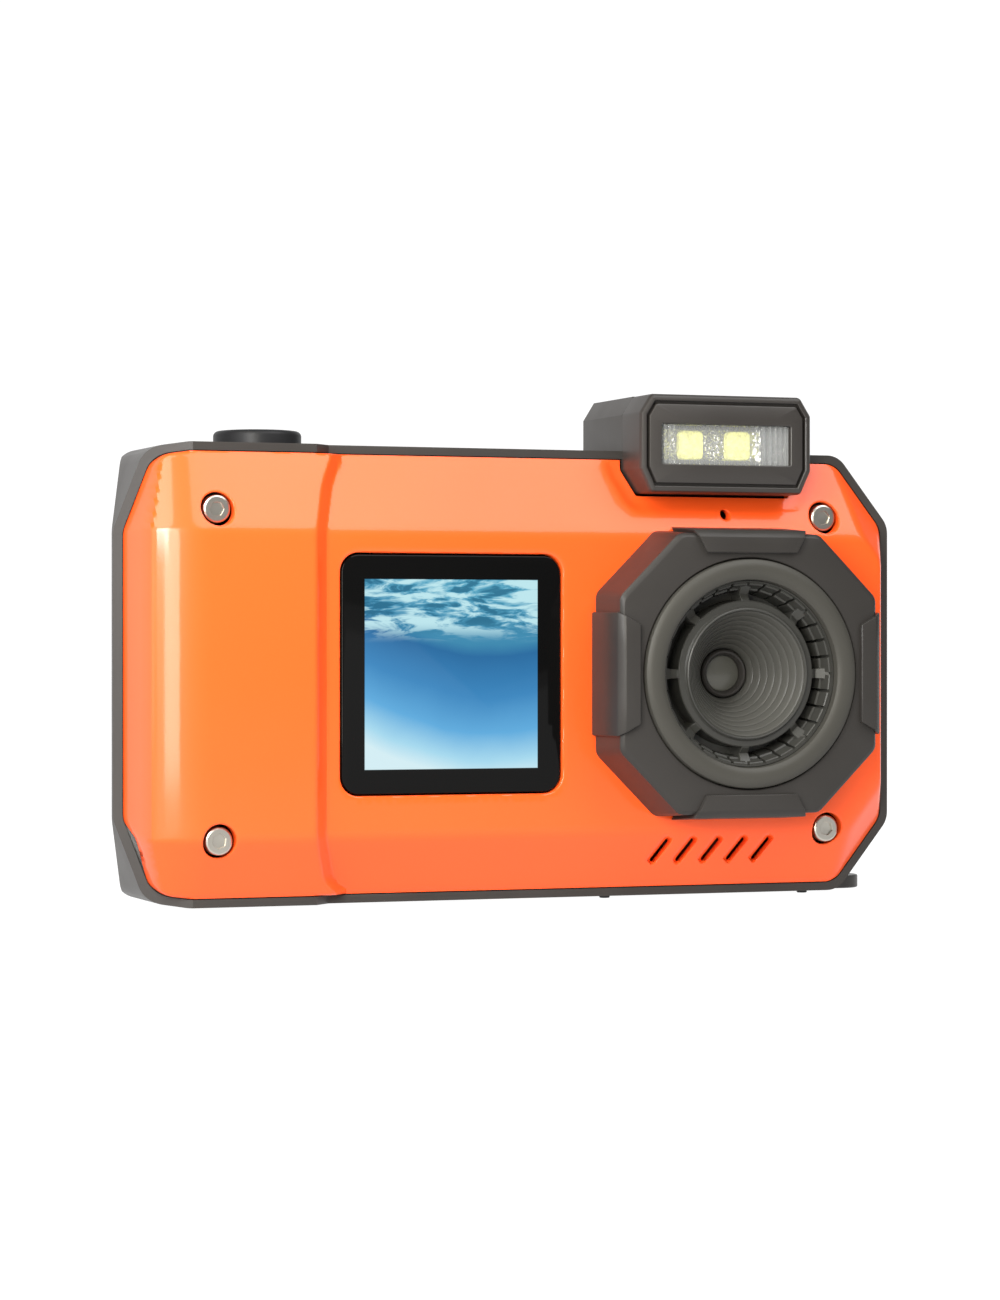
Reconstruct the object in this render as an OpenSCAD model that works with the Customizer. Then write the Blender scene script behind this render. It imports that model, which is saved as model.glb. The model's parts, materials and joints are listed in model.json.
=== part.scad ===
// Rugged action camera with a flat lamp head, a front selfie screen and a ringed lens.
// Millimetres, +Z up. The camera looks along -Y and +X is to the right seen from the front.
// The origin is the mouth of the tripod socket, in the middle of the underside.

/* [Body] */
// Width of the body over the rear shell
body_w = 116.6; // [114:0.1:120]
// Height of the body without lamp head and feet
body_h = 64; // [63.5:0.1:65]
// Rear face of the body, measured back from the tripod axis
rear_y = 11; // [11:0.1:12]
// Seam between front cover and rear shell, in front of the tripod axis
seam_y = -8; // [-8.2:0.1:-8]
// Flat front face between lens and grip
face_y = -13; // [-13.2:0.1:-13]
// How far the grip stands in front of the flat face
grip_rise = 2.2; // [1.8:0.1:2.4]
// Wall of the rear shell
shell_wall = 3; // [2.8:0.1:3.2]
// Wall of the front cover
cover_wall = 2; // [1.8:0.1:2.2]
// Width of the rim that frames the cover
rim_w = 1.15; // [1:0.05:1.3]

/* [Lens] */
// Lens axis to the right of the tripod axis
lens_x = 30.1; // [29:0.1:31]
// Half of the width of the bezel at its foot
bezel_half = 20.4; // [20:0.1:21]
// How far the bezel stands in front of the flat face
bezel_rise = 8.3; // [7.5:0.1:9]
// Outer radius of the round lens ring
ring_r = 16.3; // [16:0.1:16.5]
// Inner radius of the round lens ring
ring_hole_r = 13.3; // [13:0.1:13.6]
// Number of tabs inside the ring
baffle_tabs = 8; // [4:1:12]
// Number of light-trap grooves in the cone
cone_grooves = 8; // [4:1:9]

/* [Lamp] */
// Lamp head centre to the right of the tripod axis
lamp_x = 29.2; // [28.8:0.1:29.6]
// Width of the lamp head
lamp_w = 26.8; // [26:0.1:27.2]
// Top of the lamp head
lamp_top = 71.9; // [71:0.1:72.5]

/* [Screens] */
// Width of the front glass
front_glass_w = 32.5; // [31:0.1:33]
// Height of the front glass
front_glass_h = 33.3; // [32:0.1:34]
// Width of the rear glass
rear_glass_w = 66; // [62:1:66]
// Height of the rear glass
rear_glass_h = 51; // [48:1:51]

/* [Buttons] */
// Diameter of the shutter button
shutter_d = 12.4; // [11:0.1:12.6]
// Travel of the shutter button
shutter_travel = 1; // [0.6:0.1:1]
// Diameter of the rear buttons
rear_button_d = 6.8; // [6:0.1:7]
// Gap round a moving part
gap = 0.3; // [0.25:0.05:0.35]

/* [Fixings] */
// Bore radius of the quarter inch tripod socket
tripod_r = 3.175; // [3.175]
// Depth of the tripod socket
tripod_depth = 5.5; // [5:0.1:6]
// Radius of the strap eyelet
eyelet_r = 1.75; // [1.5:0.05:2]
// Radius of the door's hinge pin
pin_r = 0.6; // [0.5:0.05:0.6]
// Clearance between the pin and the door's knuckle
pin_clearance = 0.05; // [0.03:0.01:0.08]

/* [Hidden] */
half_w = body_w / 2;
mid_z = body_h / 2;
corner_r = 3.5;
eps = 0.2;
grip_y = face_y - grip_rise;
grip_seam_y = seam_y - 2.5;
cover_in = rim_w + 0.15;
// How far the cover's edge reaches behind the seam, and the depth of the rebate it sits in
cover_lap = 0.6;
rebate_depth = 1.2;
lens_z = mid_z;
bezel_y = face_y - bezel_rise;
tab_y = bezel_y - 0.7;
ring_y = bezel_y - 0.9;
screen_x = -11.85;
screw_x = 46.2;
screw_dz = 22.65;
// Cover screws: x, z and the y of the head's face
cover_screws_at = [
    [-screw_x, mid_z + screw_dz, grip_y + 1.7],
    [-screw_x, mid_z - screw_dz, grip_y + 0.6],
    [screw_x, mid_z + screw_dz, face_y + 1.6],
    [screw_x, mid_z - screw_dz, face_y + 0.6],
];
post_r = 2.8;
lamp_y = face_y - 2;
lamp_low = 57.8;
lamp_half = lamp_w / 2;
rear_glass_x = 13;
shutter_at = [-36.8, -1];
power_at = [-8, 0];
// Rear buttons: x and z
ok_at = [-37, 30];
up_at = [-37, 40];
down_at = [-37, 20];
left_at = [-46, 30];
right_at = [-28, 30];
mode_at = [-41, 48.5];
play_at = [-30, 48.5];
rear_buttons_at = [ok_at, up_at, down_at, left_at, right_at, mode_at, play_at];
door_x0 = -43.2;
door_x1 = -18.8;
door_y0 = -6;
door_y1 = 5.3;
door_t = 2.2;
// Opening behind the door, and the plug that fills it
mouth_y0 = -5.2;
mouth_y1 = 4.5;
plug_y0 = -3.9;
plug_y1 = 3.2;
hinge_y = 7.1;
hinge_z = 1.7;
knuckle_r = 1.5;
knuckle_x0 = -37.2;
knuckle_x1 = -24.8;
ear_w = 3;
battery_x0 = -41.5;
battery_x1 = -20.5;
battery_y = 1.4;
battery_t = 5.6;
io_y = -2.1;
board_posts_at = [for (x = [-16.3, 39.6], z = [7.8, 55.2]) [x, z]];
foot_h = 0.5;
feet_at = [[14.5, -4.5], [46, -4.5], [14.5, 5], [38, 5]];
door_feet_at = [[-37, -3], [-37, 3.5]];
lug_at = [55, 4];
lug_z0 = -0.4;
lug_z1 = 1.5;

// A flat shape drawn in X and Z, made solid between two depths
module slab(y0, y1) {
    translate([0, y1, 0])
        rotate([90, 0, 0])
            linear_extrude(y1 - y0) children();
}

// A flat shape drawn in X and Y, made solid between two heights
module slab_z(z0, z1) {
    translate([0, 0, z0]) linear_extrude(z1 - z0) children();
}

// A straight round bar along Y
module bar_y(x, z, r, y0, y1, sides = 48) {
    translate([x, y1, z])
        rotate([90, 0, 0])
            cylinder(h = y1 - y0, r = r, $fn = sides);
}

// A straight round bar along Z
module bar_z(at, r, z0, z1, sides = 48) {
    translate([at[0], at[1], z0])
        cylinder(h = z1 - z0, r = r, $fn = sides);
}

// A block between two corners
module block(low, high) {
    translate(low) cube(high - low);
}

// A rectangle with round corners, given by its centre
module round_rect(x, z, w, h, r) {
    translate([x, z])
        offset(r = r, $fn = 32) square([w - 2 * r, h - 2 * r], center = true);
}

// Outline of the body seen from the front with sharp corners, drawn in by an inset
module body_polygon(inset) {
    offset(delta = -inset)
        polygon([
            [-half_w, mid_z - 20], [-half_w + 3.8, mid_z - 31.3], [-half_w + 9, 0],
            [half_w - 8.1, 0], [half_w, 10.2],
            [half_w, body_h - 10.2], [half_w - 8.1, body_h],
            [-half_w + 9, body_h], [-half_w + 3.8, mid_z + 31.3], [-half_w, mid_z + 20],
        ]);
}

// The same outline with round corners
module outline(inset = 0) {
    offset(r = corner_r, $fn = 48) body_polygon(corner_r + inset);
}

// Plan of the body with its ends tapered towards the back, drawn in by an inset
module end_plan(inset) {
    offset(delta = -inset)
        polygon([
            [-half_w - 1.2, grip_seam_y - 9], [half_w + 0.7, grip_seam_y - 9],
            [half_w + 0.7, -3], [half_w - 4.3, rear_y + 8],
            [-half_w + 8.8, rear_y + 8], [-half_w - 1.2, -6],
        ]);
}

// Plan of the space that belongs to the rear shell, drawn in X and Y
module shell_plan(forward = 0) {
    polygon([
        [-half_w - 1, -3 - forward], [-half_w + 9.5, grip_seam_y - forward],
        [-31, grip_seam_y - forward], [-28.5, seam_y - forward],
        [half_w + 1, seam_y - forward], [half_w + 1, rear_y + 1], [-half_w - 1, rear_y + 1],
    ]);
}

// Rear half of the body with rounded back edges and tapered ends, drawn in by an inset
module rear_form(inset, back) {
    intersection() {
        hull() {
            slab(grip_seam_y - 2, back - 4) outline(inset);
            slab(back - 1.6, back - 1.4) outline(inset + 0.8);
            slab(back - eps, back) outline(inset + 2.2);
        }
        linear_extrude(body_h) end_plan(inset);
    }
}

// Hollow of the rear shell: plain walls with sharp corners
module shell_hollow() {
    intersection() {
        slab(grip_seam_y - 2, rear_y - 2) body_polygon(shell_wall);
        linear_extrude(body_h) end_plan(shell_wall);
    }
}

// Front of the body between grip and right end, drawn in by an inset
module flat_form(inset, front) {
    hull() {
        intersection() {
            slab(front + 5, 0) outline(inset);
            block([-31.4, -20, 0], [half_w, 20, body_h]);
        }
        slab(front, front + eps)
            polygon([[-31.4, 9.5], [half_w - 6.5, 9.5], [half_w - 3.5, 14],
                [half_w - 3.5, body_h - 14], [half_w - 6.5, body_h - 12.2], [-31.4, body_h - 12.2]]);
    }
}

// Raised grip at the left end, drawn in by an inset
module grip_form(inset, front) {
    low = cover_in + inset;
    top = body_h - low;
    hull() {
        slab(front, front + eps)
            polygon([[-half_w + 7.7, 9.5], [-32.5, 9.5], [-32.5, body_h - 12.2],
                [-half_w + 7.7, body_h - 12.2]]);
        slab(front + grip_rise, front + grip_rise + eps)
            polygon([[-half_w + 2.9 + inset, 14], [-30.4, 9.5], [-30.4, body_h - 12.2],
                [-half_w + 2.9 + inset, body_h - 14]]);
        slab(front + 4.7, front + 4.7 + eps)
            polygon([[-half_w + 9, low], [-29.8, low], [-29.8, top], [-half_w + 9, top],
                [-half_w + 4.3 + low, top - 1.6], [-half_w + 4.3 + low, low + 1.6]]);
        slab(front + 7.2, front + 7.2 + eps)
            polygon([[-half_w + 9, low], [-27.4, low], [-27.4, top], [-half_w + 9, top]]);
        intersection() {
            slab(front + 10, 0) outline(low);
            block([-half_w, -20, 0], [-40, 20, body_h]);
        }
    }
}

// Outline of the lamp head, drawn in by an inset
module lamp_outline(inset = 0) {
    translate([lamp_x, 0])
        offset(delta = -inset)
            polygon([
                [-lamp_half, 61.2], [-lamp_half + 1.6, lamp_low], [lamp_half - 1.6, lamp_low],
                [lamp_half, 61.2], [lamp_half, lamp_top - 2.7], [lamp_half - 1.7, lamp_top],
                [-lamp_half + 1.7, lamp_top], [-lamp_half, lamp_top - 2.7],
            ]);
}

// Outline of the lens bezel: a square with cut corners
module bezel_outline(half) {
    cut = 9;
    translate([lens_x, lens_z])
        offset(r = 1.5, $fn = 32)
            offset(delta = -1.5)
                polygon([
                    [-half, cut - half], [cut - half, -half], [half - cut, -half],
                    [half, cut - half], [half, half - cut], [half - cut, half],
                    [cut - half, half], [-half, half - cut],
                ]);
}

// Cutters of the five slanted speaker slots
module slot_cutters() {
    for (i = [0 : 4])
        translate([20.7 + 4 * i, 0, 6.6])
            rotate([0, 30, 0])
                block([-0.45, -14, -1.7], [0.45, -4, 1.7]);
}

// Front cover: a painted shell with the grip moulded in
module front_cover() {
    color([0.96, 0.42, 0.12])
        difference() {
            union() {
                difference() {
                    union() {
                        flat_form(cover_in, face_y);
                        grip_form(0, grip_y);
                    }
                    flat_form(cover_in + cover_wall, face_y + cover_wall);
                    grip_form(cover_wall, grip_y + cover_wall);
                }
                for (s = cover_screws_at)
                    bar_y(s[0], s[1], post_r, s[2] + 1, seam_y - 0.1);
            }
            linear_extrude(body_h) shell_plan(-cover_lap);
            slab(face_y - 1, face_y + 1.3)
                round_rect(screen_x, mid_z, front_glass_w + 0.4, front_glass_h + 0.4, 2.7);
            slab(face_y - 1, 0) round_rect(screen_x, mid_z, 29, 30, 1);
            bar_y(lens_x, lens_z, 17.6, face_y - 1, 0, 96);
            slab(face_y - 3, 0) lamp_outline(-0.35);
            for (s = cover_screws_at) {
                bar_y(s[0], s[1], 2.2, grip_y - 1, s[2] + 1.6);
                bar_y(s[0], s[1], 1.35, grip_y, 0);
            }
            bar_y(lens_x + 0.4, 54.9, 0.7, face_y - 1, 0);
            slot_cutters();
        }
}

// Rear shell: dark moulding with rim, lamp hump, posts and pockets for all that it carries
module rear_shell() {
    color([0.29, 0.28, 0.27])
        difference() {
            union() {
                difference() {
                    intersection() {
                        rear_form(0, rear_y);
                        linear_extrude(body_h) shell_plan();
                    }
                    difference() {
                        shell_hollow();
                        bar_z(shutter_at, shutter_d / 2 + 1.6, 59, body_h);
                        bar_z(power_at, 5.8, 59.6, body_h);
                        block([-42.6, mouth_y1 + 0.3, 0], [-19.4, rear_y - 1.5, 5.2]);
                        bar_z([0, 0], 7, 0, 7);
                        for (s = cover_screws_at)
                            bar_y(s[0], s[1], post_r, seam_y + 0.1, rear_y);
                        for (p = board_posts_at)
                            bar_y(p[0], p[1], 2.1, 4.2, rear_y - 1.2);
                    }
                    rebate();
                }
                hull() {
                    slab(seam_y, rear_y - 4) lamp_outline();
                    slab(rear_y - eps, rear_y) intersection() {
                        lamp_outline(1.8);
                        translate([0, 50]) square([60, 20]);
                    }
                }
            }
            slab(seam_y - 1, 4) lamp_outline(2.5);
            bar_z(shutter_at, shutter_d / 2 + gap, 60.5, body_h + 1);
            bar_z(shutter_at, 1.8, 58, 61);
            bar_z(power_at, 4.2 + gap, 60.4, body_h + 1);
            bar_z(power_at, 1.5, 58, 61);
            for (b = rear_buttons_at)
                bar_y(b[0], b[1], rear_button_d / 2 + gap, 8, rear_y + 1);
            slab(rear_y - 1, rear_y + 1)
                round_rect(rear_glass_x, mid_z, rear_glass_w + 0.4, rear_glass_h + 0.4, 2.2);
            slab(8, rear_y) round_rect(rear_glass_x, mid_z, 54, 44, 1);
            for (s = cover_screws_at)
                bar_y(s[0], s[1], 1.2, seam_y - 1, 2);
            for (p = board_posts_at)
                bar_y(p[0], p[1], 0.8, 4, 8.5);
            block([door_x0 - gap, door_y0 - gap, -1], [door_x1 + gap, hinge_y, door_t + 0.1]);
            block([-41.8, mouth_y0, -1], [-20.2, mouth_y1, 6]);
            block([-40.9, door_y1 - 0.1, -1], [-21.1, hinge_y + 1.8, 3.6]);
            bar_z([0, 0], 5.5, -1, 6.2);
            block([42, -0.2, -1], [60, 8.2, lug_z1 + 0.05]);
            for (f = feet_at)
                bar_z(f, 0.8, -1, 0.8);
        }
}

// Rebate inside the rim that takes the cover's edge and the gasket
module rebate() {
    intersection() {
        slab(grip_seam_y - 1, 0) outline(rim_w);
        linear_extrude(body_h) difference() {
            shell_plan();
            shell_plan(-rebate_depth);
        }
    }
}

// Sealing ring between cover edge and shell
module cover_gasket() {
    color([0.1, 0.1, 0.1])
        intersection() {
            slab(grip_seam_y - 1, 0) difference() {
                outline(cover_in + 0.2);
                outline(shell_wall - 0.1);
            }
            linear_extrude(body_h) difference() {
                shell_plan(-cover_lap - 0.05);
                shell_plan(-rebate_depth + 0.05);
            }
            difference() {
                block([-48.5, -20, 0], [half_w, 20, body_h]);
                slab(-20, 20) lamp_outline(-0.1);
            }
        }
}

// Four socket-head screws that hold the cover
module cover_screws() {
    color([0.75, 0.74, 0.7])
        for (s = cover_screws_at)
            difference() {
                union() {
                    bar_y(s[0], s[1], 1.95, s[2], s[2] + 1.5);
                    bar_y(s[0], s[1], 1.2, s[2] + 1.4, 1.5);
                }
                bar_y(s[0], s[1], 1, s[2] - 1, s[2] + 0.9, 6);
            }
}

// Bezel: octagonal tower with four clip tabs and a round bore
module lens_bezel() {
    color([0.27, 0.26, 0.25])
        difference() {
            union() {
                hull() {
                    slab(face_y - 0.4, face_y) bezel_outline(bezel_half);
                    slab(bezel_y, bezel_y + 0.4) bezel_outline(bezel_half - 0.6);
                }
                bar_y(lens_x, lens_z, 17.3, face_y - 0.1, face_y + 2.2, 96);
                for (a = [0 : 90 : 270])
                    translate([lens_x, 0, lens_z])
                        rotate([0, a, 0])
                            block([-8.75, tab_y, bezel_half - 3.4], [8.75, face_y, bezel_half + 0.5]);
            }
            bar_y(lens_x, lens_z, ring_r + 0.05, tab_y - 1, face_y - 1.5, 96);
            bar_y(lens_x, lens_z, ring_hole_r, tab_y - 1, 0, 96);
        }
}

// Turned part about the lens axis: points are radius and distance behind the ring's front
module lens_turned(points, sides = 96) {
    translate([lens_x, ring_y, lens_z])
        rotate([-90, 0, 0])
            rotate_extrude($fn = sides) polygon(points);
}

// Round ring at the front of the bezel
module lens_ring() {
    color([0.33, 0.33, 0.31])
        lens_turned([
            [ring_hole_r, 0.9], [ring_hole_r + 0.4, 0.2], [ring_hole_r + 0.9, 0],
            [ring_r - 0.9, 0], [ring_r - 0.3, 0.4], [ring_r, 1.2], [ring_r, 7.5],
            [ring_hole_r, 7.5],
        ]);
}

// Baffle: cup with a collar and radial tabs that breaks up stray light
module baffle_ring() {
    color([0.2, 0.2, 0.19])
        union() {
            lens_turned([
                [13.2, 1.2], [13.2, 8], [9.2, 8], [9.2, 1.6], [9.8, 1.6], [9.8, 6.8],
                [12.4, 6.8], [12.4, 1.2],
            ]);
            for (i = [0 : baffle_tabs - 1])
                translate([lens_x, ring_y, lens_z])
                    rotate([0, i * 360 / baffle_tabs, 0])
                        block([-1.6, 2, 9.6], [1.6, 7.2, 12.8]);
        }
}

// Cone with stepped grooves round the front lens
module lens_cone() {
    r0 = 9.1;
    r1 = 3.6;
    d0 = 1.8;
    d1 = 10.2;
    step_r = (r0 - r1) / cone_grooves;
    step_d = (d1 - d0) / cone_grooves;
    steps = [for (i = [0 : cone_grooves - 1]) each [
        [r0 - 0.4 - i * step_r, d0 + i * step_d],
        [r0 - 0.4 - i * step_r, d0 + (i + 1) * step_d],
    ]];
    color([0.3, 0.3, 0.28])
        lens_turned(concat(steps, [[r1, d1], [r1, d1 + 0.8], [r0, d1 + 0.8], [r0, d0]]));
}

// Threaded ring that keeps the front lens in its seat
module lens_retainer() {
    color([0.3, 0.3, 0.29])
        lens_turned([[2.6, 10.3], [2.9, 9.9], [3.3, 9.9], [3.5, 10.2], [3.5, 12], [2.6, 12]]);
}

// Front lens element
module front_lens() {
    color([0.32, 0.31, 0.29])
        lens_turned([[0, 10.6], [1.6, 10.75], [2.55, 11.1], [2.55, 12], [0, 12]]);
}

// Barrel that carries the elements
module lens_barrel() {
    color([0.12, 0.12, 0.12])
        lens_turned([[2.8, 12.05], [6.2, 12.05], [6.2, 18.6], [5, 18.6], [5, 13.2], [2.8, 13.2]]);
}

// Second lens element inside the barrel
module inner_lens() {
    color([0.7, 0.75, 0.8])
        lens_turned([[0, 14], [4.9, 14.6], [4.9, 16.2], [0, 15.6]]);
}

// Holder that squares the barrel to the sensor
module lens_holder() {
    color([0.15, 0.15, 0.15])
        difference() {
            block([lens_x - 8, -3.5, lens_z - 8], [lens_x + 8, -1.2, lens_z + 8]);
            block([lens_x - 4.2, -4, lens_z - 3.6], [lens_x + 4.2, 0, lens_z + 3.6]);
        }
}

// Filter plate in front of the sensor
module infrared_filter() {
    color([0.55, 0.8, 0.8])
        block([lens_x - 4.1, -3.3, lens_z - 3.5], [lens_x + 4.1, -2.8, lens_z + 3.5]);
}

// Image sensor
module image_sensor() {
    color([0.2, 0.25, 0.3])
        block([lens_x - 3.8, -2.2, lens_z - 3.2], [lens_x + 3.8, -1.25, lens_z + 3.2]);
}

// Small board under the sensor
module sensor_board() {
    color([0.1, 0.35, 0.2])
        block([lens_x - 10, -1.15, lens_z - 10], [lens_x + 10, -0.25, lens_z + 10]);
}

// Black glass over the front screen
module front_glass() {
    color([0.08, 0.08, 0.08])
        slab(face_y + 0.3, face_y + 1.25)
            round_rect(screen_x, mid_z, front_glass_w, front_glass_h, 2.5);
}

// Front screen module
module front_display() {
    color([0.3, 0.55, 0.7])
        block([screen_x - 14, face_y + 1.35, mid_z - 14.5],
            [screen_x + 14, face_y + 3.8, mid_z + 14.5]);
}

// Glass over the rear screen
module rear_glass() {
    color([0.08, 0.08, 0.08])
        slab(rear_y - 0.95, rear_y - 0.15)
            round_rect(rear_glass_x, mid_z, rear_glass_w, rear_glass_h, 2);
}

// Rear screen module
module rear_display() {
    color([0.25, 0.27, 0.3])
        block([rear_glass_x - 26.5, rear_y - 4.6, mid_z - 21.5],
            [rear_glass_x + 26.5, rear_y - 1.1, mid_z + 21.5]);
}

// Front half of the lamp head
module lamp_housing() {
    color([0.29, 0.28, 0.26])
        difference() {
            slab(lamp_y, seam_y - 0.05) lamp_outline();
            slab(lamp_y - 1, lamp_y + 1) lamp_outline(0.9);
            block([lamp_x - 11, lamp_y - 1, 60.8], [lamp_x + 11, lamp_y + 5.8, 68.8]);
        }
}

// Inset panel round the lamp window
module lamp_panel() {
    color([0.3, 0.29, 0.27])
        difference() {
            slab(lamp_y + 0.05, lamp_y + 0.95) lamp_outline(1.15);
            block([lamp_x - 10.2, lamp_y - 1, 61.9], [lamp_x + 10.2, lamp_y + 2, 67.7]);
        }
}

// Clear window of the lamp
module lamp_window() {
    color([0.85, 0.88, 0.9])
        union() {
            block([lamp_x - 10.1, lamp_y + 0.35, 62], [lamp_x + 10.1, lamp_y + 1, 67.6]);
            block([lamp_x - 10.8, lamp_y + 1, 61], [lamp_x + 10.8, lamp_y + 1.7, 68.6]);
        }
}

// Bright tray behind the window
module lamp_reflector() {
    color([0.8, 0.8, 0.8])
        difference() {
            block([lamp_x - 10.6, lamp_y + 1.8, 61.2], [lamp_x + 10.6, lamp_y + 4.6, 68.4]);
            block([lamp_x - 9.6, lamp_y + 1, 62], [lamp_x + 9.6, lamp_y + 4, 67.6]);
            for (x = [-4.4, 2.4])
                block([lamp_x + x - 2, lamp_y + 3, 62.7], [lamp_x + x + 2, lamp_y + 6, 66.9]);
        }
}

// Two square light-emitting diodes
module lamp_leds() {
    color([0.95, 0.85, 0.2])
        for (x = [-4.4, 2.4])
            block([lamp_x + x - 1.8, lamp_y + 3.2, 63], [lamp_x + x + 1.8, lamp_y + 4.65, 66.6]);
}

// Board that carries the diodes
module lamp_board() {
    color([0.85, 0.85, 0.82])
        block([lamp_x - 10.5, lamp_y + 4.7, 61.2], [lamp_x + 10.5, lamp_y + 5.6, 68.4]);
}

// Round shutter button with its stem
module shutter_button() {
    color([0.3, 0.3, 0.3])
        translate([shutter_at[0], shutter_at[1], 0])
            rotate_extrude($fn = 96)
                polygon([
                    [0, 58.3], [1.5, 58.3], [1.5, 62.6], [4.6, 62.6], [4.6, 61.8],
                    [shutter_d / 2, 61.8], [shutter_d / 2, 65.2], [shutter_d / 2 - 0.35, 65.8],
                    [shutter_d / 2 - 1, 66.1], [0, 66.1],
                ]);
}

// A point on the skin of a coiled wire: turn angle a, angle t round the wire
function coil_point(r, wire, a, t, rise) =
    let (out = r + wire * cos(t)) [out * cos(a), out * sin(a), rise * a / 360 + wire * sin(t)];

// A coil spring with open ends, standing on z = 0
module coil_spring(r, wire, turns, height, steps = 14, sides = 6) {
    rise = (height - 2 * wire) / turns;
    last = turns * steps;
    skin = [for (i = [0 : last], j = [0 : sides - 1])
        coil_point(r, wire, i * 360 / steps, j * 360 / sides, rise) + [0, 0, wire]];
    walls = [for (i = [0 : last - 1], j = [0 : sides - 1])
        let (k = (j + 1) % sides)
            [i * sides + j, i * sides + k, (i + 1) * sides + k, (i + 1) * sides + j]];
    cap0 = [for (j = [sides - 1 : -1 : 0]) j];
    cap1 = [for (j = [0 : sides - 1]) last * sides + j];
    polyhedron(points = skin, faces = concat(walls, [cap0, cap1]), convexity = 6);
}

// Return spring under the shutter button
module shutter_spring() {
    color([0.75, 0.75, 0.75])
        translate([shutter_at[0], shutter_at[1], 60.55])
            coil_spring(3, 0.2, 3, 2);
}

// Silicone lip round the shutter stem
module shutter_seal() {
    color([0.12, 0.12, 0.12])
        difference() {
            bar_z(shutter_at, 3, 57.9, 58.95);
            bar_z(shutter_at, 1.55, 57, 60);
        }
}

// Tact switch under the shutter stem
module shutter_switch() {
    color([0.2, 0.2, 0.22])
        union() {
            block([shutter_at[0] - 3, shutter_at[1] - 3, 53.4],
                [shutter_at[0] + 3, shutter_at[1] + 3, 56.6]);
            bar_z(shutter_at, 1.1, 56.5, 57.2);
        }
}

// Power button, level with the top
module power_button() {
    color([0.25, 0.25, 0.25])
        translate([power_at[0], power_at[1], 0])
            rotate_extrude($fn = 64)
                polygon([[0, 58.9], [1.2, 58.9], [1.2, 61.3], [4.2, 61.3], [4.2, 63.4],
                    [3.9, 63.7], [0, 63.9]]);
}

// Tact switch under the power button
module power_switch() {
    color([0.2, 0.2, 0.22])
        union() {
            block([power_at[0] - 3, power_at[1] - 2.8, 54.4], [power_at[0] + 3, power_at[1] + 2.8, 57.6]);
            bar_z(power_at, 1, 57.5, 58.1);
        }
}

// One rear button: a domed cap that pokes through the shell, with a flange behind it
module rear_button(at, r = rear_button_d / 2) {
    color([0.24, 0.24, 0.24])
        translate([at[0], 0, at[1]])
            rotate([-90, 0, 0])
                rotate_extrude($fn = 64)
                    polygon([[0, 8], [r + 0.5, 8], [r + 0.5, 8.6], [r, 8.6], [r, rear_y + 0.1],
                        [r - 0.4, rear_y + 0.35], [0, rear_y + 0.4]]);
}

module ok_button() { rear_button(ok_at); }
module up_button() { rear_button(up_at); }
module down_button() { rear_button(down_at); }
module left_button() { rear_button(left_at); }
module right_button() { rear_button(right_at); }
module mode_button() { rear_button(mode_at); }
module play_button() { rear_button(play_at); }

// Rubber membrane under the rear buttons
module button_membrane() {
    color([0.15, 0.15, 0.15])
        union() {
            block([-50, 6.3, 15], [-23.5, 6.8, 51.6]);
            for (b = rear_buttons_at)
                bar_y(b[0], b[1], 2.2, 6.7, 7.3);
        }
}

// Board with the contacts of the rear buttons
module button_board() {
    color([0.1, 0.35, 0.2])
        block([-50, 5.2, 15], [-23.5, 6.2, 51.6]);
}

// Door over battery, card and socket, with its hinge knuckle and two moulded feet
module battery_door() {
    color([0.27, 0.26, 0.25])
        difference() {
            union() {
                difference() {
                    block([door_x0, door_y0, 0], [door_x1, door_y1, door_t]);
                    block([-35, door_y0 + 1.2, -1], [-26, door_y0 + 3.8, 1.3]);
                }
                block([-40.2, plug_y0, door_t - 0.1], [-21.8, plug_y1, 3.3]);
                block([knuckle_x0, door_y1 - 0.1, 0.2], [knuckle_x1, hinge_y, door_t]);
                translate([knuckle_x0, hinge_y, hinge_z])
                    rotate([0, 90, 0])
                        cylinder(h = knuckle_x1 - knuckle_x0, r = knuckle_r, $fn = 48);
                for (f = door_feet_at)
                    bar_z(f, 0.6, -foot_h, 0.1);
            }
            translate([knuckle_x0 - 1, hinge_y, hinge_z])
                rotate([0, 90, 0])
                    cylinder(h = knuckle_x1 - knuckle_x0 + 2, r = pin_r + pin_clearance, $fn = 48);
        }
}

// Sealing ring round the door's plug
module door_gasket() {
    color([0.55, 0.2, 0.15])
        difference() {
            block([-41.3, mouth_y0 + 0.4, door_t + 0.05], [-20.7, mouth_y1 - 0.4, 3.2]);
            block([-40.2, plug_y0, door_t - 1], [-21.8, plug_y1, 4]);
        }
}

// Sliding catch in the door, with two ribs for the thumb
module door_latch() {
    color([0.2, 0.2, 0.2])
        union() {
            block([-34.7, door_y0 + 1.5, 0.5], [-30.2, door_y0 + 3.5, 1.2]);
            for (x = [-33.9, -31.9])
                block([x, door_y0 + 1.5, 0.1], [x + 0.9, door_y0 + 3.5, 0.6]);
        }
}

// Bracket with the two hinge ears
module hinge_bracket() {
    color([0.7, 0.7, 0.68])
        difference() {
            union() {
                for (x = [knuckle_x0 - gap - ear_w, knuckle_x1 + gap])
                    union() {
                        translate([x, hinge_y, hinge_z])
                            rotate([0, 90, 0])
                                cylinder(h = ear_w, r = knuckle_r, $fn = 48);
                        block([x, hinge_y - 0.2, hinge_z], [x + ear_w, hinge_y + 1.4, 3.6]);
                    }
            }
            translate([-45, hinge_y, hinge_z])
                rotate([0, 90, 0])
                    cylinder(h = 30, r = pin_r, $fn = 48);
        }
}

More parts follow.
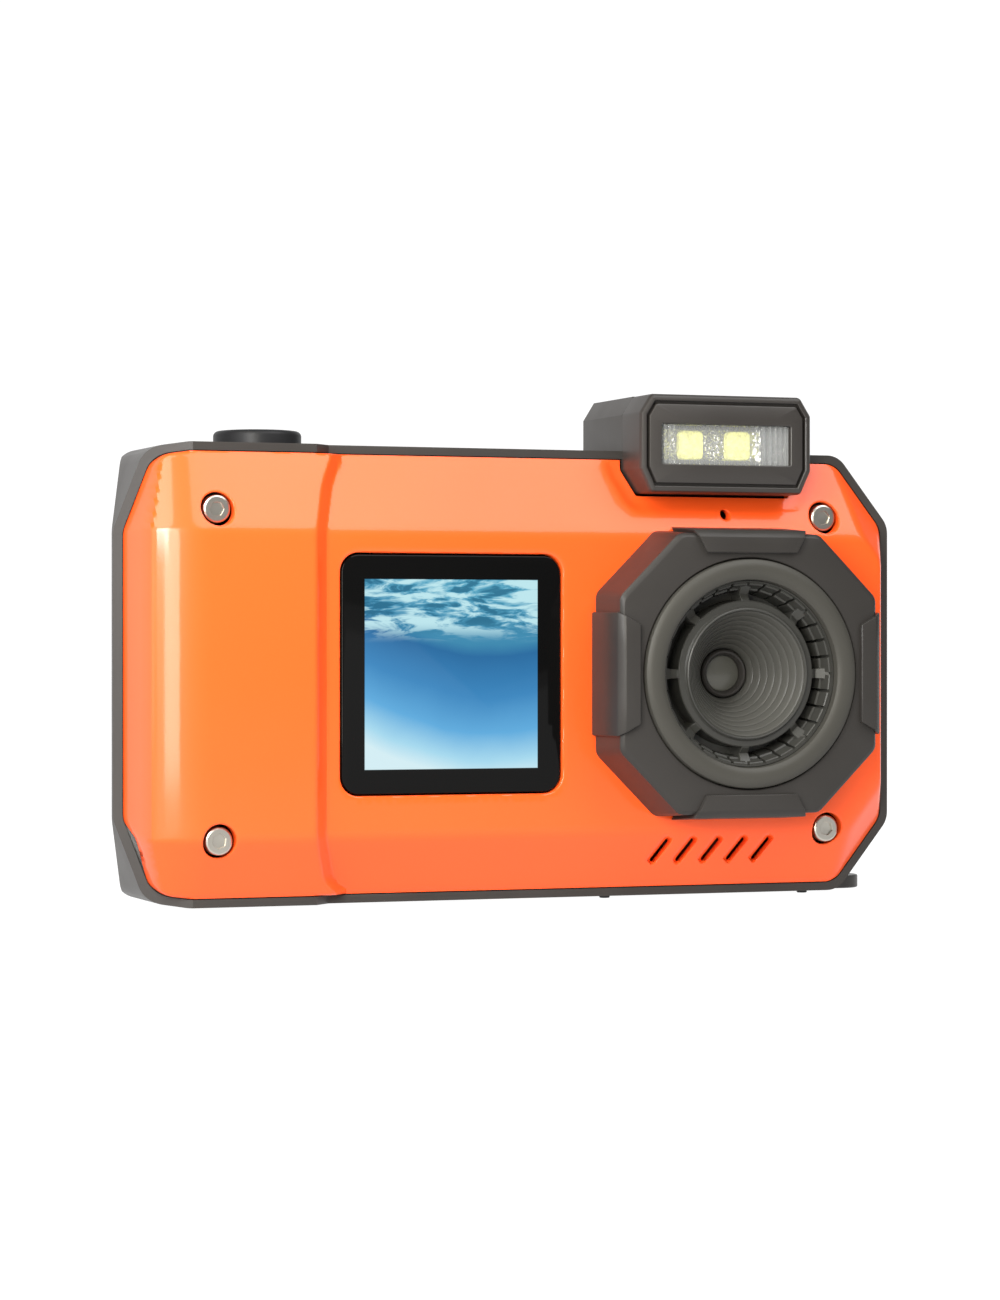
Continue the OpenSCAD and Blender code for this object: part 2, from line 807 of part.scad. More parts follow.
// Hinge pin of the door
module hinge_pin() {
    color([0.8, 0.8, 0.8])
        translate([knuckle_x0 - gap - ear_w, hinge_y, hinge_z])
            rotate([0, 90, 0])
                cylinder(h = knuckle_x1 - knuckle_x0 + 2 * (gap + ear_w), r = pin_r, $fn = 48);
}

// Rechargeable cell
module battery() {
    color([0.2, 0.22, 0.25])
        slab_z(6, 44)
            round_rect((battery_x0 + battery_x1) / 2, battery_y, battery_x1 - battery_x0, battery_t, 1.2);
}

// Sleeve that holds the cell
module battery_holder() {
    color([0.18, 0.18, 0.18])
        difference() {
            block([battery_x0 - 1.05, battery_y - battery_t / 2 - 0.6, 5.4],
                [battery_x1 + 1.05, battery_y + battery_t / 2 + 0.8, 47]);
            block([battery_x0 - 0.2, battery_y - battery_t / 2 - 0.1, 5],
                [battery_x1 + 0.2, battery_y + battery_t / 2 + 0.2, 45.8]);
        }
}

// Spring contacts above the cell
module battery_contacts() {
    color([0.85, 0.7, 0.35])
        for (x = [-36, -31, -26])
            block([x - 1, battery_y - 0.9, 44.05], [x + 1, battery_y + 0.9, 45.75]);
}

// Main circuit board with its chips
module main_board() {
    color([0.1, 0.35, 0.2])
        difference() {
            union() {
                block([-18.5, 2.9, 5.2], [42.5, 4.1, 57.5]);
                block([-8, 1.5, 24], [6, 3, 38]);
                block([-6, 1.8, 42], [5, 3, 52]);
            }
            block([-8, 0, 5], [8, 5, 8]);
            for (p = board_posts_at)
                bar_y(p[0], p[1], 1, 1, 6);
        }
}

// Screws that hold the main board to its posts
module board_screws() {
    color([0.75, 0.74, 0.7])
        for (p = board_posts_at)
            union() {
                bar_y(p[0], p[1], 1.7, 1.6, 2.85);
                bar_y(p[0], p[1], 0.78, 2.8, 7.5);
            }
}

// Small board for card slot and socket
module io_board() {
    color([0.1, 0.35, 0.2])
        block([battery_x0, io_y - 0.85, 5.4], [battery_x1, io_y, 24]);
}

// Charging and data socket, mouth down
module usb_socket() {
    color([0.75, 0.75, 0.75])
        difference() {
            block([-28.6, io_y - 3.15, 5.4], [-21, io_y - 0.9, 10.6]);
            block([-28.2, io_y - 2.85, 5], [-21.4, io_y - 1.2, 10]);
        }
}

// Card slot
module card_slot() {
    color([0.7, 0.7, 0.7])
        difference() {
            block([-41.3, io_y - 2.6, 6.4], [-29, io_y - 0.9, 21]);
            block([-40.8, io_y - 2.3, 6], [-29.5, io_y - 1.2, 20.5]);
        }
}

// Memory card in its slot
module memory_card() {
    color([0.12, 0.12, 0.14])
        block([-40.6, io_y - 2.2, 5.4], [-29.7, io_y - 1.3, 20.4]);
}

// Speaker behind the slots
module speaker() {
    color([0.2, 0.2, 0.2])
        union() {
            bar_y(28.7, 9.5, 6, -5, -2);
            bar_y(28.7, 9.5, 3.5, -2.1, -0.8);
        }
}

// Microphone behind its hole
module microphone() {
    color([0.7, 0.65, 0.5])
        bar_y(lens_x + 0.4, 54.9, 2.2, -6.5, -4);
}

// Brass insert for a quarter inch tripod screw
module tripod_insert() {
    color([0.8, 0.65, 0.3])
        difference() {
            bar_z([0, 0], 5.45, 0, 6.2, 64);
            bar_z([0, 0], tripod_r, -1, tripod_depth, 64);
        }
}

// Lug for the wrist strap
module strap_lug() {
    color([0.27, 0.26, 0.25])
        difference() {
            union() {
                block([42.2, lug_at[1] - 3.9, lug_z0], [lug_at[0], lug_at[1] + 3.9, lug_z1]);
                bar_z(lug_at, 3.9, lug_z0, lug_z1, 64);
            }
            bar_z(lug_at, eyelet_r, -1, 3);
        }
}

// Moulded rubber feet under the shell
module foot_pips() {
    color([0.15, 0.15, 0.15])
        for (f = feet_at)
            bar_z(f, 0.75, -foot_h, 0.75);
}

front_cover();
rear_shell();
cover_gasket();
cover_screws();
lens_bezel();
lens_ring();
baffle_ring();
lens_cone();
lens_retainer();
front_lens();
lens_barrel();
inner_lens();
lens_holder();
infrared_filter();
image_sensor();
sensor_board();
front_glass();
front_display();
rear_glass();
rear_display();
lamp_housing();
lamp_panel();
lamp_window();
lamp_reflector();
lamp_leds();
lamp_board();
shutter_button();
shutter_spring();
shutter_seal();
shutter_switch();
power_button();
power_switch();
ok_button();
up_button();
down_button();
left_button();
right_button();
mode_button();
play_button();
button_membrane();
button_board();
battery_door();
door_gasket();
door_latch();
hinge_bracket();
hinge_pin();
battery();
battery_holder();
battery_contacts();
main_board();
board_screws();
io_board();
usb_socket();
card_slot();
memory_card();
speaker();
microphone();
tripod_insert();
strap_lug();
foot_pips();
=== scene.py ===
"""Rugged action camera: the visible surfaces and finishes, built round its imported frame.

Shapes are worked out in millimetres and turned into metres when a mesh is made. The camera looks
along -Y, +X is to the right seen from the front and +Z is up.
"""

import json
import logging
import math
from dataclasses import dataclass, field
from enum import Enum

import bmesh
import bpy
import numpy as np
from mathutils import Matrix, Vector
from mathutils.geometry import delaunay_2d_cdt


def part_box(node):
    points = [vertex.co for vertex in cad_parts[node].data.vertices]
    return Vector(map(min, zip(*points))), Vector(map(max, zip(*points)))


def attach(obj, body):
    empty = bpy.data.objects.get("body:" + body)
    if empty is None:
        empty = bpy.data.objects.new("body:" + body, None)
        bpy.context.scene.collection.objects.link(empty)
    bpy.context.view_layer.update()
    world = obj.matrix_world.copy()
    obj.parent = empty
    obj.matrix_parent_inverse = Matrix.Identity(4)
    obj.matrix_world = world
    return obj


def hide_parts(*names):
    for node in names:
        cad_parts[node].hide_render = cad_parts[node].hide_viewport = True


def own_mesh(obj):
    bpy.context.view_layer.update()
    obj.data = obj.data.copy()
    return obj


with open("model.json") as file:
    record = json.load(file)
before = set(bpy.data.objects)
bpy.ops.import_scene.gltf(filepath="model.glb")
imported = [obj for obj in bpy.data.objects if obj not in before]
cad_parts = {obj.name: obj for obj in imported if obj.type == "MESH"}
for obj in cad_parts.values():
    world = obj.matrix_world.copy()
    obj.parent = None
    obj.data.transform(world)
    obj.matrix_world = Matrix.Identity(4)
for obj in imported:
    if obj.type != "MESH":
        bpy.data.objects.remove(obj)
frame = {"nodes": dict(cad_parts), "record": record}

LOG = logging.getLogger("camera")
MM = 0.001
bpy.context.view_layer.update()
SMOOTH_ANGLE = math.radians(28)


# ---------------------------------------------------------------- shader expressions


class Graph:
    """The node tree of one material, with one method that adds any node."""

    ready: dict[str, bpy.types.Material] = {}

    def __init__(self, name: str) -> None:
        """Starts a material with an empty tree and an output."""
        self.name = name
        self.material = bpy.data.materials.new(name + "_look")
        self.material.use_nodes = True
        self.tree = self.material.node_tree
        self.tree.nodes.clear()
        self.output = self.tree.nodes.new("ShaderNodeOutputMaterial")

    def node(self, kind: str, settings: dict | None = None, pick: str | int = 0, **inputs) -> "Socket":
        """Adds a node.

        Args:
            kind: Type of the node without its ShaderNode prefix.
            settings: Attributes set before its sockets; "stops" are a ramp's (place, colour) pairs.
            pick: Name or number of the output that is returned.
            inputs: Values or links by socket name with underscores for spaces, or in0, in1 and so on.

        Returns:
            The chosen output, wrapped for further maths.
        """
        made = self.tree.nodes.new("ShaderNode" + kind)
        for key, value in (settings or {}).items():
            if key == "stops":
                self._set_stops(made.color_ramp, value)
            else:
                setattr(made, key, value)
        for key, value in inputs.items():
            known = key.startswith("in") and key[2:].isdigit()
            socket = made.inputs[int(key[2:])] if known else made.inputs[key.replace("_", " ")]
            if isinstance(value, Socket):
                self.tree.links.new(value.socket, socket)
            else:
                socket.default_value = value
        return Socket(self, made.outputs[pick])

    def mix(self, factor, first, second) -> "Socket":
        """Blends two colours, each a value or a link."""
        return self.node("Mix", {"data_type": "RGBA"}, pick=2, in0=factor, in6=first, in7=second)

    @staticmethod
    def _set_stops(ramp: bpy.types.ColorRamp, stops: list) -> None:
        """Gives a colour ramp its stops."""
        while len(ramp.elements) > 1:
            ramp.elements.remove(ramp.elements[-1])
        ramp.elements[0].position = stops[0][0]
        ramp.elements[0].color = stops[0][1]
        for place, colour in stops[1:]:
            ramp.elements.new(place).color = colour

    def finish(self, surface: "Socket") -> bpy.types.Material:
        """Links a shader to the output and returns the material."""
        self.tree.links.new(surface.socket, self.output.inputs["Surface"])
        Graph.ready[self.name] = self.material
        return self.material


class Socket:
    """A number that flows between nodes; arithmetic on it adds Math nodes."""

    def __init__(self, graph: Graph, socket: bpy.types.NodeSocket) -> None:
        """Wraps an output socket of a graph."""
        self.graph = graph
        self.socket = socket

    def _math(self, operation: str, *values) -> "Socket":
        """Adds one Math node over the given values."""
        inputs = {f"in{i}": value for i, value in enumerate(values)}
        return self.graph.node("Math", {"operation": operation}, **inputs)

    def __add__(self, other) -> "Socket":
        """Sum."""
        return self._math("ADD", self, other)

    __radd__ = __add__

    def __sub__(self, other) -> "Socket":
        """Difference."""
        return self._math("SUBTRACT", self, other)

    def __rsub__(self, other) -> "Socket":
        """Difference from a number."""
        return self._math("SUBTRACT", other, self)

    def __mul__(self, other) -> "Socket":
        """Product."""
        return self._math("MULTIPLY", self, other)

    __rmul__ = __mul__

    def __truediv__(self, other) -> "Socket":
        """Quotient."""
        return self._math("DIVIDE", self, other)

    def __pow__(self, other) -> "Socket":
        """Power."""
        return self._math("POWER", self, other)

    def above(self, edge: float, width: float) -> "Socket":
        """Goes from 0 to 1 as the value rises through an edge of the given width."""
        return self.graph.node("MapRange", {"interpolation_type": "SMOOTHSTEP"}, Value=self,
                               From_Min=edge - width / 2, From_Max=edge + width / 2)

    def absolute(self) -> "Socket":
        """Size without sign."""
        return self._math("ABSOLUTE", self)

    def sine(self) -> "Socket":
        """Sine."""
        return self._math("SINE", self)

    def larger(self, other) -> "Socket":
        """The larger of two values."""
        return self._math("MAXIMUM", self, other)


Colour = tuple[float, float, float]


def rgba(colour: Colour) -> tuple[float, float, float, float]:
    """Adds full opacity to a colour."""
    return (*colour, 1.0)


@dataclass(frozen=True)
class Finish:
    """A finish with a base colour, gloss, cloudy variation and a fine grain.

    Lengths of the grain are in millimetres, the depth of the grain too.
    """

    name: str
    colour: Colour
    roughness: float = 0.5
    metallic: float = 0.0
    coat: float = 0.0
    coat_roughness: float = 0.1
    specular: float = 0.5
    cloud: float = 0.06
    cloud_size: float = 20.0
    grain_size: float = 0.3
    grain_depth: float = 0.01
    rough_change: float = 0.08
    glow: float = 0.0

    def coordinates(self, graph: Graph) -> Socket:
        """Object coordinates, in metres from the frame's origin."""
        return graph.node("TexCoord", pick="Object")

    def colouring(self, graph: Graph, place: Socket) -> Socket:
        """Base colour: the plain colour, lighter and darker in large soft clouds."""
        cloud = graph.node("TexNoise", pick="Fac", Vector=place, Scale=1000 / self.cloud_size, Detail=3.0)
        light = tuple(min(1.0, c * (1 + self.cloud) + 0.002) for c in self.colour)
        dark = tuple(c * (1 - self.cloud) for c in self.colour)
        return graph.mix(cloud.above(0.5, 0.6), rgba(dark), rgba(light))

    def relief(self, graph: Graph, place: Socket) -> Socket:
        """Height of the grain, from 0 to 1."""
        return graph.node("TexNoise", pick="Fac", Vector=place, Scale=1000 / self.grain_size, Detail=2.0)

    def material(self) -> bpy.types.Material:
        """The material, built the first time that it is asked for."""
        return Graph.ready.get(self.name) or self.built(Graph(self.name))

    def built(self, graph: Graph) -> bpy.types.Material:
        """Builds the material."""
        place = self.coordinates(graph)
        grain = self.relief(graph, place)
        normal = graph.node("Bump", Strength=0.6, Distance=self.grain_depth * MM, Height=grain)
        smudge = graph.node("TexNoise", pick="Fac", Vector=place, Scale=90.0, Detail=4.0)
        rough = smudge.above(0.5, 0.5) * self.rough_change + (self.roughness - self.rough_change / 2)
        colour = self.colouring(graph, place)
        extra = {}
        if self.glow:
            extra = {"Emission_Color": colour, "Emission_Strength": self.glow}
        surface = graph.node("BsdfPrincipled", Base_Color=colour, Roughness=rough, Metallic=self.metallic,
                             Coat_Weight=self.coat, Coat_Roughness=self.coat_roughness,
                             Specular_IOR_Level=self.specular, Normal=normal, **extra)
        return graph.finish(surface)


@dataclass(frozen=True)
class PaintFinish(Finish):
    """Satin metallic paint under a clear coat, with tiny flakes."""

    flake: float = 0.16

    def colouring(self, graph: Graph, place: Socket) -> Socket:
        """Base colour with sparse brighter flakes on soft clouds."""
        base = Finish.colouring(self, graph, place)
        flakes = graph.node("TexVoronoi", {"feature": "F1"}, pick="Distance", Vector=place, Scale=3200.0)
        bright = tuple(min(1.0, c * 1.35 + 0.01) for c in self.colour)
        return graph.mix((1 - flakes.above(0.22, 0.2)) * self.flake, base, rgba(bright))


@dataclass(frozen=True)
class BrushedFinish(Finish):
    """Turned or brushed metal: the grain is stretched along one axis."""

    stretch: tuple[float, float, float] = (1.0, 1.0, 12.0)

    def relief(self, graph: Graph, place: Socket) -> Socket:
        """Long fine scratches."""
        turned = graph.node("Mapping", Vector=place, Scale=self.stretch)
        return graph.node("TexNoise", pick="Fac", Vector=turned, Scale=1000 / self.grain_size, Detail=3.0)


@dataclass(frozen=True)
class FoilFinish(Finish):
    """Crinkled bright foil with sharp facets."""

    def relief(self, graph: Graph, place: Socket) -> Socket:
        """Creases between random flat facets."""
        bent = graph.node("TexNoise", pick="Color", Vector=place, Scale=900.0, Detail=2.0)
        moved = graph.node("VectorMath", {"operation": "MULTIPLY_ADD"}, in0=bent, in1=(0.0012, 0.0012, 0.0012),
                           in2=place)
        return graph.node("TexVoronoi", {"feature": "F1"}, pick="Distance", Vector=moved,
                          Scale=1000 / self.grain_size)


@dataclass(frozen=True)
class BoardFinish(Finish):
    """Circuit board: solder mask with lighter tracks in rows."""

    def colouring(self, graph: Graph, place: Socket) -> Socket:
        """Green mask crossed by thin copper tracks."""
        parts = graph.node("SeparateXYZ", Vector=place)
        along = Socket(graph, parts.socket.node.outputs[2])
        wander = graph.node("TexNoise", pick="Fac", Vector=place, Scale=160.0)
        lines = ((along * 4200 + wander * 14).sine()).above(0.75, 0.3)
        base = Finish.colouring(self, graph, place)
        copper = tuple(min(1.0, c * 1.8 + 0.03) for c in self.colour)
        return graph.mix(lines * 0.6, base, rgba(copper))


@dataclass(frozen=True)
class PictureFinish(Finish):
    """Black glass with a lit picture of open water behind it.

    The picture is a rectangle given by its centre and size in millimetres.
    """

    centre: tuple[float, float] = (0.0, 0.0)
    size: tuple[float, float] = (10.0, 10.0)
    brightness: float = 0.9

    def water(self, graph: Graph, place: Socket, across: Socket, up: Socket) -> Socket:
        """Colour of the water: bright ripples on top, deep blue below, pale at the bottom."""
        slope = up + across * 0.10
        cloud = graph.node("TexNoise", pick="Fac", Vector=place, Scale=70.0, Detail=3.0)
        depth = slope + (cloud - 0.5) * 0.12 - (across - 0.62) * (across - 0.62) * 0.35
        deep = graph.node("ValToRGB", {"stops": [
            (0.0, (0.72, 0.93, 0.98, 1)), (0.10, (0.42, 0.76, 0.93, 1)), (0.26, (0.12, 0.44, 0.78, 1)),
            (0.45, (0.045, 0.26, 0.56, 1)), (0.66, (0.022, 0.16, 0.38, 1)), (0.72, (0.05, 0.27, 0.46, 1)),
            (1.0, (0.10, 0.42, 0.60, 1))]}, Fac=depth)
        flat = graph.node("Mapping", Vector=place, Scale=(0.5, 1.0, 2.1))
        bend = graph.node("TexNoise", pick="Color", Vector=flat, Scale=170.0, Detail=2.0)
        warped = graph.node("VectorMath", {"operation": "MULTIPLY_ADD"}, in0=bend, in1=(0.006, 0.0, 0.006),
                            in2=flat)
        waves = graph.node("TexNoise", pick="Fac", Vector=warped, Scale=420.0, Detail=4.0, Roughness=0.6)
        crests = waves.above(0.52, 0.16) * up.above(0.72, 0.12)
        light = graph.mix(crests * 0.9, deep, (0.62, 0.93, 0.97, 1))
        shade = (1 - waves.above(0.43, 0.1)) * up.above(0.74, 0.1)
        return graph.mix(shade * 0.75, light, (0.01, 0.12, 0.22, 1))

    def built(self, graph: Graph) -> bpy.types.Material:
        """Builds the glass with its picture."""
        place = self.coordinates(graph)
        parts = graph.node("SeparateXYZ", Vector=place).socket.node
        x = Socket(graph, parts.outputs[0]) * 1000
        z = Socket(graph, parts.outputs[2]) * 1000
        across = (x - self.centre[0]) / self.size[0] + 0.5
        up = (z - self.centre[1]) / self.size[1] + 0.5
        edge = ((across - 0.5).absolute()).larger((up - 0.5).absolute())
        inside = 1 - edge.above(0.5, 0.004)
        water = self.water(graph, place, across, up)
        black = rgba(self.colour)
        base = graph.mix(inside, black, (0.004, 0.006, 0.01, 1))
        glow = graph.mix(inside, (0, 0, 0, 1), water)
        surface = graph.node("BsdfPrincipled", Base_Color=base, Roughness=self.roughness,
                             Specular_IOR_Level=self.specular, Coat_Weight=self.coat,
                             Coat_Roughness=self.coat_roughness, Emission_Color=glow,
                             Emission_Strength=self.brightness)
        return graph.finish(surface)


@dataclass(frozen=True)
class ClearFinish(Finish):
    """Clear plastic: mostly see-through, with gloss on its ribs and a painted sheen: it grows more opaque and paler
    where its surface turns away from the view.
    """

    alpha: float = 0.2

    def built(self, graph: Graph) -> bpy.types.Material:
        """Builds the clear material."""
        place = self.coordinates(graph)
        grain = self.relief(graph, place)
        normal = graph.node("Bump", Strength=0.3, Distance=self.grain_depth * MM, Height=grain)
        # Painted sheen: the facing weight makes the plastic more opaque, showing its pale colour, where the surface
        # turns away from the view.
        edge = graph.node("LayerWeight", pick="Facing", Blend=0.35)
        surface = graph.node("BsdfPrincipled", Base_Color=rgba(self.colour), Roughness=self.roughness,
                             Alpha=edge * 0.5 + self.alpha, Specular_IOR_Level=self.specular,
                             Coat_Weight=self.coat, Normal=normal)
        return graph.finish(surface)


class Stock(Enum):
    """The finishes that are used on the object."""

    COVER = PaintFinish("cover_paint", (0.95, 0.094, 0.012), roughness=0.36, coat=0.45, coat_roughness=0.09,
                        specular=0.2, cloud=0.03, cloud_size=40, grain_size=0.35, grain_depth=0.004,
                        rough_change=0.04)
    SHELL = Finish("shell_plastic", (0.026, 0.0225, 0.020), roughness=0.42, cloud=0.10, grain_size=0.22,
                   grain_depth=0.006, specular=0.5)
    LENS = Finish("lens_plastic", (0.029, 0.0265, 0.0245), roughness=0.38, cloud=0.08, grain_size=0.18,
                  grain_depth=0.004, specular=0.2)
    RING = Finish("ring_plastic", (0.046, 0.044, 0.038), roughness=0.42, cloud=0.06, grain_size=0.15,
                  grain_depth=0.003, specular=0.2)
    CONE = Finish("cone_plastic", (0.056, 0.055, 0.049), roughness=0.4, cloud=0.06, grain_size=0.15,
                  grain_depth=0.003, specular=0.3)
    CELLS = Finish("baffle_plastic", (0.034, 0.0335, 0.030), roughness=0.34, specular=0.3, cloud=0.1, grain_size=0.2,
                   grain_depth=0.004)
    BUTTON = Finish("button_plastic", (0.012, 0.012, 0.013), specular=0.15, roughness=0.42, cloud=0.08, grain_size=0.16,
                    grain_depth=0.006)
    RUBBER = Finish("black_rubber", (0.022, 0.022, 0.022), roughness=0.72, cloud=0.15, grain_size=0.25,
                    grain_depth=0.02)
    SILICONE = Finish("seal_silicone", (0.26, 0.045, 0.025), roughness=0.55, cloud=0.12, grain_size=0.3,
                      grain_depth=0.01)
    STEEL = BrushedFinish("screw_steel", (0.50, 0.475, 0.42), roughness=0.3, metallic=1.0, cloud=0.05,
                          grain_size=0.2, grain_depth=0.006)
    BRASS = BrushedFinish("brass", (0.72, 0.50, 0.20), roughness=0.32, metallic=1.0, cloud=0.08,
                          grain_size=0.25, grain_depth=0.01)
    GLASS = Finish("screen_glass", (0.004, 0.004, 0.004), roughness=0.07, coat=0.2, coat_roughness=0.03,
                   specular=0.25, cloud=0.1, grain_size=3.0, grain_depth=0.002, rough_change=0.03)
    OPTIC = Finish("optical_glass", (0.076, 0.075, 0.064), roughness=0.35, coat=0.1, coat_roughness=0.05,
                   cloud=0.05, grain_size=4.0, grain_depth=0.002)
    MODULE = Finish("screen_module", (0.08, 0.085, 0.095), roughness=0.3, metallic=0.4, cloud=0.1,
                    grain_size=0.5, grain_depth=0.004)
    FOIL = FoilFinish("reflector_foil", (0.50, 0.50, 0.46), roughness=0.16, metallic=1.0, cloud=0.1,
                      cloud_size=2.0, grain_size=0.75, grain_depth=0.35)
    PHOSPHOR = Finish("led_phosphor", (0.83, 0.78, 0.18), roughness=0.5, cloud=0.45, cloud_size=0.7,
                      grain_size=0.3, grain_depth=0.08, glow=0.35)
    BOARD = BoardFinish("circuit_board", (0.012, 0.09, 0.035), roughness=0.38, coat=0.3, cloud=0.2,
                        cloud_size=6.0, grain_size=0.5, grain_depth=0.02)
    BLACK = Finish("black_plastic", (0.03, 0.03, 0.031), roughness=0.45, cloud=0.12, grain_size=0.25,
                   grain_depth=0.012)
    CLEAR = ClearFinish("clear_plastic", (0.86, 0.88, 0.88), roughness=0.06, coat=0.4, alpha=0.10,
                        grain_size=0.5, grain_depth=0.01)


# ---------------------------------------------------------------- surfaces


@dataclass
class Skin:
    """A surface in millimetres: its points, and its faces as lists of point numbers."""

    points: np.ndarray
    faces: list[list[int]]

    def placed(self, turn: float, centre: np.ndarray) -> "Skin":
        """Turns the surface about the Y direction and moves it.

        Args:
            turn: Angle in radians, from +Z towards +X.
            centre: Where the turning axis goes, x, y and z.

        Returns:
            The placed copy.
        """
        x, y, z = self.points.T
        c, s = math.cos(turn), math.sin(turn)
        return Skin(np.stack([x * c + z * s, y, z * c - x * s], axis=1) + centre, self.faces)


def joined(skins: list[Skin]) -> Skin:
    """Puts several surfaces in one."""
    starts = np.cumsum([0] + [len(s.points) for s in skins[:-1]])
    faces = [[int(start) + i for i in face] for skin, start in zip(skins, starts) for face in skin.faces]
    return Skin(np.concatenate([s.points for s in skins]), faces)


def loft(rows: np.ndarray, wrap: bool = False) -> Skin:
    """Skins a stack of closed loops: quads between neighbours, and a cap at either end unless it wraps.

    Args:
        rows: Loops of points, as an array of loop, point and coordinate.
        wrap: The last loop joins the first, as on a tube ring.

    Returns:
        The closed surface.
    """
    count, cols, _ = rows.shape
    index = np.arange(count * cols).reshape(count, cols)
    across = np.roll(index, -1, axis=1)
    quads = np.stack([index, across, np.roll(across, -1, axis=0), np.roll(index, -1, axis=0)], axis=-1)
    faces = quads[: count if wrap else count - 1].reshape(-1, 4).tolist()
    if not wrap:
        faces += [index[0][::-1].tolist(), index[-1].tolist()]
    return Skin(rows.reshape(-1, 3), faces)


def revolved(profile: list[tuple[float, float]], axis: np.ndarray, cols: int = 128, wrap: bool = True) -> Skin:
    """Turns a profile about a line along Y: point = axis + radius * (sin a, 0, cos a) + depth along Y.

    Args:
        profile: Radius and depth of each ring.
        axis: A point on the axis, at depth 0.
        cols: Points round each ring.
        wrap: The profile is closed.

    Returns:
        The closed surface.
    """
    radius, depth = np.array(profile, float).T
    angle = np.linspace(0, 2 * math.pi, cols, endpoint=False)
    rows = np.empty((len(profile), cols, 3))
    rows[..., 0] = radius[:, None] * np.sin(angle)
    rows[..., 1] = depth[:, None]
    rows[..., 2] = radius[:, None] * np.cos(angle)
    return loft(rows + axis, wrap)


def around(rows: list, angle: np.ndarray, x: float, z: float) -> np.ndarray:
    """Loops about a line along Y, from rows of radius, plain or one for each angle, and depth."""
    return np.array([np.stack([x + r * np.sin(angle), np.full(len(angle), y), z + r * np.cos(angle)], axis=1)
                     for r, y in rows])


def edge_lines(corners: np.ndarray) -> tuple[np.ndarray, np.ndarray]:
    """Outward normals and offsets of the edges of a convex outline, whichever way round it runs."""
    step = np.roll(corners, -1, axis=0) - corners
    normals = np.stack([step[:, 1], -step[:, 0]], axis=1) / np.linalg.norm(step, axis=1)[:, None]
    middle = corners.mean(axis=0)
    side = np.sign(((corners - middle) * normals).sum(axis=1))
    normals = normals * side[:, None]
    return normals, (normals * corners).sum(axis=1)


def shrunk(corners: np.ndarray, inset: float) -> np.ndarray:
    """Corners of a convex outline with every edge moved in by an inset."""
    normals, offsets = edge_lines(corners)
    before, at = np.roll(normals, 1, axis=0), np.roll(offsets, 1) - inset
    matrices = np.stack([before, normals], axis=1)
    return np.linalg.solve(matrices, np.stack([at, offsets - inset], axis=1)[..., None])[..., 0]


def round_loop(corners: np.ndarray, radius: float, inset: float = 0.0, steps: int = 7) -> np.ndarray:
    """A convex outline with round corners: each inner corner plus an arc between its edges' normals.

    Args:
        corners: Sharp corners, in order.
        radius: Corner radius at inset 0.
        inset: How far the outline is drawn in, with concentric corners.
        steps: Points on each arc.

    Returns:
        Points of the loop, as x and z.
    """
    core = shrunk(corners, max(radius, inset + 0.02))
    reach = max(radius, inset + 0.02) - inset
    normals, _ = edge_lines(corners)
    heading = np.arctan2(normals[:, 1], normals[:, 0])
    start = np.roll(heading, 1)
    swing = (heading - start + math.pi) % (2 * math.pi) - math.pi
    angles = start[:, None] + swing[:, None] * np.linspace(0, 1, steps)
    arcs = core[:, None] + reach * np.stack([np.cos(angles), np.sin(angles)], axis=-1)
    return arcs.reshape(-1, 2)


def box_corners(x0: float, z0: float, x1: float, z1: float) -> np.ndarray:
    """Corners of an upright rectangle."""
    return np.array([[x0, z0], [x1, z0], [x1, z1], [x0, z1]], float)


def plate(corners: np.ndarray, radius: float, profile: list[tuple[float, float]], wrap: bool = False,
          steps: int = 7) -> Skin:
    """A slab with round corners: the outline carried along a profile of inset and depth.

    Args:
        corners: Sharp corners of the outline, as x and z.
        radius: Corner radius.
        profile: Inset and y of each loop.
        wrap: The profile is closed, as on a frame with a window.
        steps: Points on each corner arc.

    Returns:
        The closed surface.
    """
    rows = [np.insert(round_loop(corners, radius, inset, steps), 1, y, axis=1) for inset, y in profile]
    return loft(np.array(rows), wrap)


def dense(loop: np.ndarray, step: float) -> np.ndarray:
    """Adds points to a loop so that no stretch is longer than the step."""
    lengths = np.linalg.norm(np.roll(loop, -1, axis=0) - loop, axis=1)
    counts = np.maximum(1, np.ceil(lengths / step).astype(int))
    index = np.repeat(np.arange(len(loop)), counts)
    part = np.concatenate([np.arange(n) / n for n in counts])
    return loop[index] + (np.roll(loop, -1, axis=0) - loop)[index] * part[:, None]


def reach_of(loop: np.ndarray, centre: np.ndarray, angle: np.ndarray) -> np.ndarray:
    """Distance from a centre to a loop in the given directions, from +Z towards +X."""
    offset = dense(loop, 0.15) - centre
    heading = np.arctan2(offset[:, 0], offset[:, 1]) % (2 * math.pi)
    order = np.argsort(heading)
    return np.interp(angle, heading[order], np.hypot(*offset.T)[order], period=2 * math.pi)


def distance_to(points: np.ndarray, corners: np.ndarray) -> np.ndarray:
    """Signed distance to a convex outline, negative inside."""
    step = np.roll(corners, -1, axis=0) - corners
    offset = points[:, None] - corners[None]
    along = np.clip((offset * step).sum(-1) / (step * step).sum(-1), 0, 1)
    gap = np.linalg.norm(offset - along[..., None] * step, axis=-1).min(axis=1)
    normals, offsets = edge_lines(corners)
    inside = (points @ normals.T - offsets).max(axis=1) < 0
    return np.where(inside, -gap, gap)


def smooth_max(a: np.ndarray, b: np.ndarray, k: float) -> np.ndarray:
    """The larger of two heights, blended where they differ by less than k."""
    near = np.clip(k - np.abs(a - b), 0, None) / k
    return np.maximum(a, b) + near * near * k / 4


def smooth_min(a: np.ndarray, b: np.ndarray, k: float) -> np.ndarray:
    """The smaller of two heights, blended where they differ by less than k."""
    return -smooth_max(-a, -b, k)


